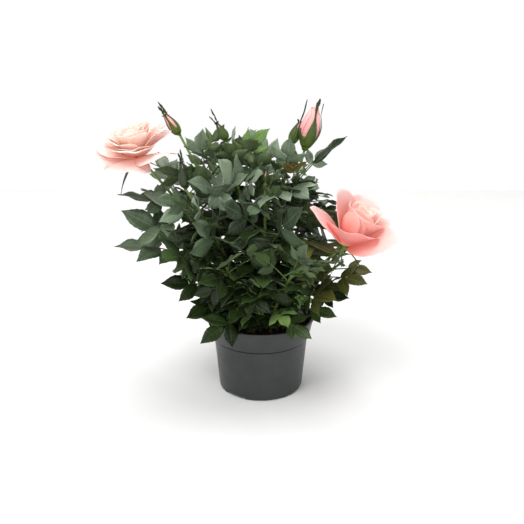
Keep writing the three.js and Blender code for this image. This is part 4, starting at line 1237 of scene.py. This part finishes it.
# Leaves of the same make that close the front, hang bronzed under the right rose, and flush red by the buds.
front_leaves = [
    ("right_low", 0.62, (90, -44, 124), 2, "olive"),
    ("right_low", 0.8, (98, -34, 118), 1, "olive"),
    ("right_low", 0.5, (84, -20, 98), 2, "shade"),
    ("right_rose", 0.5, (62, -62, 140), 1, "olive"),
    ("right_low", 0.55, (66, -58, 112), 2, "olive"),
    ("left_low", 0.4, (-68, -44, 88), 1, "shade"),
    ("left_low", 0.8, (-92, -40, 168), 2, "dark"),
    ("dark_bud", 0.5, (-78, -66, 158), 2, "dark"),
    ("front_left", 0.8, (-60, -84, 118), 2, "shade"),
    ("left_bud", 0.8, (-66, -16, 222), 0, "red"),
    ("left_bud", 0.85, (-50, -16, 228), 0, "red"),
    ("right_bud", 0.72, (30, -8, 238), 1, "red"),
    ("left_bud", 0.86, (-70, 6, 250), 0, "dark"),
    ("right_rose", 0.7, (56, -44, 140), 0, "red"),
]


def filling_leaf(shoot, path, size, index, number, attempt):
    """A leaf that fills the shade: it heads any way, more of them from low down on the shoot."""
    key = (index, number + 200, attempt)
    first, last = shoot.leafy
    share = first * 0.7 + (last - first * 0.7) * chance(*key, 7) ** filling.low
    start = path.at(share)
    height = (start[2] - crown.low) / (crown.top - crown.low)
    rise = radians(filling.droop + filling.lift * height + jitter(filling.sway, *key, 2))
    way = slant(2 * pi * chance(*key, 1), rise)
    reach = kept_in(start, way, size.reach - size.less * chance(*key, 3), size.least, size.inner)
    if reach is None or start[2] > size.top:
        return None
    face = facing(unit(way * [1, 1, 0.3]), filling, key)
    pairs = 2 if chance(*key, 6) < filling.two_pairs else 1
    return Leaf(start, start + way * reach, face, pairs, filling.first_key + 100 * index + number)


def filling_tint(one, size):
    """The larger fillers take their place's painted light and shade, and the small ones deep inside get
    painted shade, grey green near the top and darker green below.
    """
    if size is filling.sizes[0]:
        return leaf_tint(one)
    if one.stalk.tip[2] > 205:
        return "dark"
    return "mid" if chance(one.key, 78) < 0.3 else "shade"


close = (filling.gap, filling.gap)
for number, plan in enumerate(front_leaves, 100):
    leaves += grow(lambda attempt: outline_leaf(paths[plan[0]], plan, number, attempt), habit.tries, *close)
for one in leaves:
    while one.pairs < len(leaf.pairs):
        lower = one.next_pair()
        one.pairs += 1
        found = one.key != habit.outline_from and space.takes(None, lower, None, *close)
        if found:
            space.place(lower, found)
            one.leaflets += lower
rounds = [size for size in filling.sizes for _ in range(size.rounds)]
for number, size in enumerate(rounds):
    for index, (name, shoot) in enumerate(shoots.items()):
        for one in grow(lambda attempt: filling_leaf(shoot, paths[name], size, index, number, attempt),
                        filling.tries, *close, beside=False):
            one.tint = filling_tint(one, size)
            leaves.append(one)

blade = Values(full=(12, 2), plain=(8, 1), width=0.265, sweep=0.2, tooth=0.045, pucker=0.006, thick=0.009,
               veins=6, shapes=12)


def leaflet_shape(index, finishes):
    """A toothed leaflet of length 1 along Y that faces Z, each in another fold, droop and twist. The second
    dozen has fewer faces, for leaves deep inside."""
    fold, droop = 0.16 + jitter(0.13, index, 51), 0.09 + jitter(0.11, index, 52)
    twist, wave = jitter(0.3, index, 53), 0.02 + 0.025 * chance(index, 54)
    rows, wide = blade.full if index < blade.shapes else blade.plain
    s = np.linspace(0, 1, rows + 1)[:, None]
    u = np.linspace(-1, 1, 2 * wide + 1)[None, :]
    y = s + blade.sweep * np.abs(u) * np.sin(pi * s) * (1 - s)
    outline = (s ** 0.6) * (1 - s) ** (1.1 + 0.16 * chance(index, 57))
    half = blade.width * outline / outline.max() * (1 + 0.1 * jitter(1, index, 55))
    odd = np.arange(rows + 1)[:, None] % 2 == 1
    teeth = np.where(np.abs(u) > 0.99, blade.tooth * np.where(odd, 1, -0.3), 0)
    x = u * half * (1 + teeth)
    z = fold * np.abs(x) - droop * y ** 2 + droop * 0.4 * y
    z = z + blade.pucker * np.where(odd, 1, -1) * (1 - u ** 2) * np.abs(u) * 2.2
    z = z - 0.012 * np.exp(-(u / 0.12) ** 2) * np.sin(pi * np.clip(s * 1.1, 0, 1))
    z = z + wave * np.sin(9 * s + 6.28 * chance(index, 56) + np.where(u > 0, 1.5, 0)) * u ** 2
    turn = twist * y
    x, z = x * np.cos(turn) - z * np.sin(turn), x * np.sin(turn) + z * np.cos(turn)
    grid = np.stack([x, y, z], axis=2)
    skin = Skin()
    skin.add_sheet(grid, blade.thick * (1 - 0.5 * s), s + 0 * u, slots=(0, 1))
    made = skin.made(f"leaflet {index:02d}", finishes)
    made.data.transform(Matrix.Scale(1 / MM, 4))
    mark(made.data, "underside", "BOOLEAN", [slot == 1 for slot in skin.slots], "FACE")
    uv = made.data.uv_layers.new(name="UVMap")
    flat = np.stack([(u + 0 * s) * 0.5 + 0.5, s + 0 * u], axis=2).reshape(-1, 2)
    flat = np.concatenate([flat, flat])
    corners = np.zeros(len(made.data.loops), int)
    made.data.loops.foreach_get("vertex_index", corners)
    uv.data.foreach_set("uv", flat[corners].ravel())
    return made


def leaflet_tree():
    """Puts a leaflet on every point, picked, sized and turned as the point says, with its two finishes."""
    tree, given, out = rule_tree("leaflets on stalks", [
        ("Collection", "Shapes", None), ("Material", "Top Finish", None),
        ("Material", "Underside Finish", None)])
    shapes = node(tree, "GeometryNodeCollectionInfo", [("Collection", given["Shapes"])],
                  in_Separate_Children=True, in_Reset_Children=True)
    pick = node(tree, "GeometryNodeInputNamedAttribute", data_type="INT", in_Name="shape")
    turn = node(tree, "GeometryNodeInputNamedAttribute", data_type="FLOAT_VECTOR", in_Name="turn")
    size = node(tree, "GeometryNodeInputNamedAttribute", in_Name="size")
    points = node(tree, "GeometryNodeMeshToPoints", [("Mesh", given["Mesh"])])
    put = node(tree, "GeometryNodeInstanceOnPoints", [
        ("Points", points.outputs[0]), ("Instance", shapes.outputs[0]), ("Instance Index", pick.outputs[0]),
        ("Rotation", turn.outputs[0]), ("Scale", size.outputs[0])], in_Pick_Instance=True)
    real = node(tree, "GeometryNodeRealizeInstances", [(0, put.outputs[0])])
    top = node(tree, "GeometryNodeSetMaterial", [
        ("Geometry", real.outputs[0]), ("Material", given["Top Finish"])])
    under = node(tree, "GeometryNodeInputNamedAttribute", data_type="BOOLEAN", in_Name="underside")
    both = node(tree, "GeometryNodeSetMaterial", [
        ("Geometry", top.outputs[0]), ("Selection", under.outputs[0]),
        ("Material", given["Underside Finish"])])
    tree.links.new(both.outputs[0], out.inputs[0])
    return tree


def leaflet_holder(name, placed):
    """One point for each leaflet, with its shape, size, turn and tone."""
    mesh = bpy.data.meshes.new(name)
    mesh.from_pydata([(one.base * MM).tolist() for one, _, _ in placed], [], [])
    turns = [Matrix([one.side, one.axis, one.normal]).transposed().to_euler() for one, _, _ in placed]
    mark(mesh, "turn", "FLOAT_VECTOR", np.array(turns).ravel())
    mark(mesh, "size", "FLOAT", np.array([one.length * MM for one, _, _ in placed]))
    dozens = [1 if inner else 0 for _, _, inner in placed]
    mark(mesh, "shape", "INT", [int((chance(key, 61) + dozen) * blade.shapes)
                                for (_, key, _), dozen in zip(placed, dozens)])
    mark(mesh, "tone", "FLOAT", [chance(key, 62) for _, key, _ in placed])
    return in_scene(name, mesh)


def leaf_finish(name, low, high, vein, gloss, wax):
    """Leaf skin: two greens that change with the leaflet and in patches, paler veins and puckered relief."""
    finish, tree, shader = new_finish(name, low, 0.38, Specular_IOR_Level=gloss)
    tone = maths(tree, "ADD", value_of(tree, "tone"), noise(tree, 90, 5, 0.6))
    flesh = ramp(tree, mapped(tree, tone, 0.3, 1.6, 0, 1), {0: low, 1: high})
    uv = node(tree, "ShaderNodeSeparateXYZ", [(0, node(tree, "ShaderNodeUVMap", uv_map="UVMap").outputs[0])])
    saw = maths(tree, "PINGPONG", maths(tree, "MULTIPLY", uv.outputs["Y"], blade.veins), 0.5)
    side_veins = maths(tree, "MULTIPLY", mapped(tree, saw, 0, 0.09, 1, 0), 0.5)
    off = maths(tree, "ABSOLUTE", maths(tree, "SUBTRACT", uv.outputs["X"], 0.5))
    veins = maths(tree, "MAXIMUM", side_veins, mapped(tree, off, 0, 0.04, 1, 0))
    colour = node(tree, "ShaderNodeMix", [(0, maths(tree, "MULTIPLY", veins, 0.55)), (6, flesh)],
                  data_type="RGBA", in_7=(*rgb(vein), 1))
    tree.links.new(colour.outputs[2], shader.inputs["Base Color"])
    where = node(tree, "ShaderNodeTexCoord").outputs["Object"]
    net = node(tree, "ShaderNodeTexVoronoi", [("Vector", where)], feature="DISTANCE_TO_EDGE", in_Scale=900)
    netted = maths(tree, "MULTIPLY", net.outputs["Distance"], 0.5)
    bumped(tree, shader, maths(tree, "SUBTRACT", netted, veins), 0.35, 0.0004)
    shader.inputs["Sheen Weight"].default_value = wax
    shader.inputs["Sheen Roughness"].default_value = 0.6
    return finish


# Pale, dark, mid and shade are one leaf green with painted light and shade: lighter where the top of the bush
# is lit, darker low down and deep inside. Olive and red are the leaves' own bronze and young red.
leaf_greens = {tint: leaf_finish(*look) for tint, *look in [
    ("pale", "pale grey green leaf", "485b41", "98ac8e", "b4c4aa", 0.5, 0.12),
    ("dark", "grey green leaf", "22321c", "5c7052", "7f9376", 0.4, 0.06),
    ("mid", "green leaf", "1a280f", "405828", "6a804e", 0.3, 0.02),
    ("shade", "shaded leaf", "0b1504", "22330f", "3e5226", 0.25, 0.01),
    ("bright", "bright leaf", "3f5f2a", "779852", "a8bd70", 0.3, 0.03),
    ("olive", "olive leaf", "2a3212", "60642a", "84864c", 0.35, 0.02),
    ("red", "young red leaf", "4a3a18", "6c5e28", "84743e", 0.3, 0.0),
]}
leaf_under = leaf_finish("leaf underside", "3c4c2e", "5e7048", "7a8a62", 0.15, 0.03)

shapes = [leaflet_shape(index, [leaf_greens["dark"], leaf_under]) for index in range(2 * blade.shapes)]
leaflet_shapes = shape_box("leaflet shapes", shapes)
leaflet_rule = leaflet_tree()
foliage_nodes = [name + "_foliage" for name in shoots]
for tint, top_finish in leaf_greens.items():
    chosen = [(leaflet, 10 * one.key + place, one.key >= filling.first_key)
              for one in leaves if one.tint == tint for place, leaflet in enumerate(one.leaflets)]
    if not chosen:
        continue
    blades = grown(f"leaves_{tint}", leaflet_holder(f"{tint} leaflets", chosen), leaflet_rule, {
        "Shapes": leaflet_shapes, "Top Finish": top_finish, "Underside Finish": leaf_under})
    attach(blades, "root")
    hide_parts(*foliage_nodes)
clear_box(leaflet_shapes)


def stalk_line(one):
    """A leaf's stalk: swollen where it leaves the stem, thinner towards the end leaflet."""
    shares = np.linspace(0, one.ends + 0.02, 13)
    radii = leaf.stalk_radius * 0.75 + (leaf.stalk_taper * 0.7 - leaf.stalk_radius * 0.75) * shares
    return one.stalk.at(shares), radii + 0.5 * np.exp(-shares / 0.03), 0.42 + 0.3 * chance(one.key, 63)


stalks = grown("leaf_stalks", lines_holder("stalk lines", [stalk_line(one) for one in leaves]), tubes, {
    "Sides": 6, "Relief": 0.05 * MM, "Finish": rose_stems})


def shoot_line(name):
    """A shoot's line from soil to flower, thick at its joints with leaves, and its bark's age."""
    path, (bare, _) = paths[name], shoots[name].leafy
    count = int(path.length() / stem.step)
    shares = np.linspace(0, 1, count)
    radii = np.array([stem_radius(share) for share in shares])
    spots = path.at(shares)
    for one in leaves:
        near = np.linalg.norm(spots - one.stalk.start, axis=1)
        if near.min() < 1.5:
            radii = radii + stem.joint * np.exp(-(near / 1.6) ** 2)
    flowers = any(name == flower.shoot for flower in (*roses.values(), *buds.values()))
    bright = 0.95 if flowers else 0.7
    ages = np.interp(shares, [0, bare, 0.8, 1], [0.02, 0.3, 0.7 * bright, bright])
    return spots, radii, ages


canes = grown("green_canes", lines_holder("cane lines", [shoot_line(name) for name in shoots]), tubes, {
    "Sides": 12, "Relief": 0.25 * MM, "Finish": rose_stems})
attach(canes, "root")
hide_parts(*[name + "_cane" for name in shoots])
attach(stalks, "root")
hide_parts(*foliage_nodes)

# ---------------------------------------------------------------- stage
# A plain pale floor that runs out of sight, soft studio lamps and the camera, which looks a little down on
# the bush from in front.

floor_size = 1.9
floor_finish, tree, shader = new_finish("pale floor", (0.93, 0.93, 0.92), 0.85, Specular_IOR_Level=0.1)
floor_grain = node(tree, "ShaderNodeTexNoise", in_Scale=40, in_Detail=3)
tree.links.new(ramp(tree, floor_grain.outputs["Fac"], {0: (0.92, 0.92, 0.91), 1: (0.96, 0.96, 0.95)}),
               shader.inputs["Base Color"])
half = floor_size / 2 / MM
corners = [(-half, -half, 0), (half, -half, 0), (half, half, 0), (-half, half, 0)]
floor = piece("floor", corners, [(0, 1, 2, 3)], [floor_finish])


def soft_lamp(name, place, aim, size, power):
    """A round soft lamp in one place that shines at another."""
    lamp = bpy.data.lights.new(name, "AREA")
    lamp.shape, lamp.size, lamp.energy = "DISK", size, power
    made = in_scene(name, lamp)
    made.location = place
    made.rotation_euler = (Vector(aim) - Vector(place)).to_track_quat("-Z", "Y").to_euler()


soft_lamp("key lamp", (-0.9, -1.2, 2.2), (0, 0, 0.1), 1.4, 34)
soft_lamp("top lamp", (0.1, 0.2, 2.6), (0, 0, 0.1), 1.8, 34)
soft_lamp("front lamp", (0.4, -2.2, 0.9), (0, 0, 0.15), 1.4, 10)

world = bpy.data.worlds.new("studio")
bpy.context.scene.world = world
world.use_nodes = True
sky = world.node_tree
way = node(sky, "ShaderNodeSeparateXYZ", [(0, node(sky, "ShaderNodeTexCoord").outputs["Generated"])])
sky.links.new(mapped(sky, way.outputs["Z"], 0.08, 0.35, 1.0, 0.42), sky.nodes["Background"].inputs["Color"])
bpy.context.scene.view_settings.view_transform = "Standard"

lens = bpy.data.cameras.new("camera")
lens.sensor_width, lens.lens = 36, 47.06
camera = in_scene("camera", lens)
camera.location = (0.0012, -0.628, 0.328)
camera.rotation_euler = (radians(72.3), 0, 0)
bpy.context.scene.camera = camera
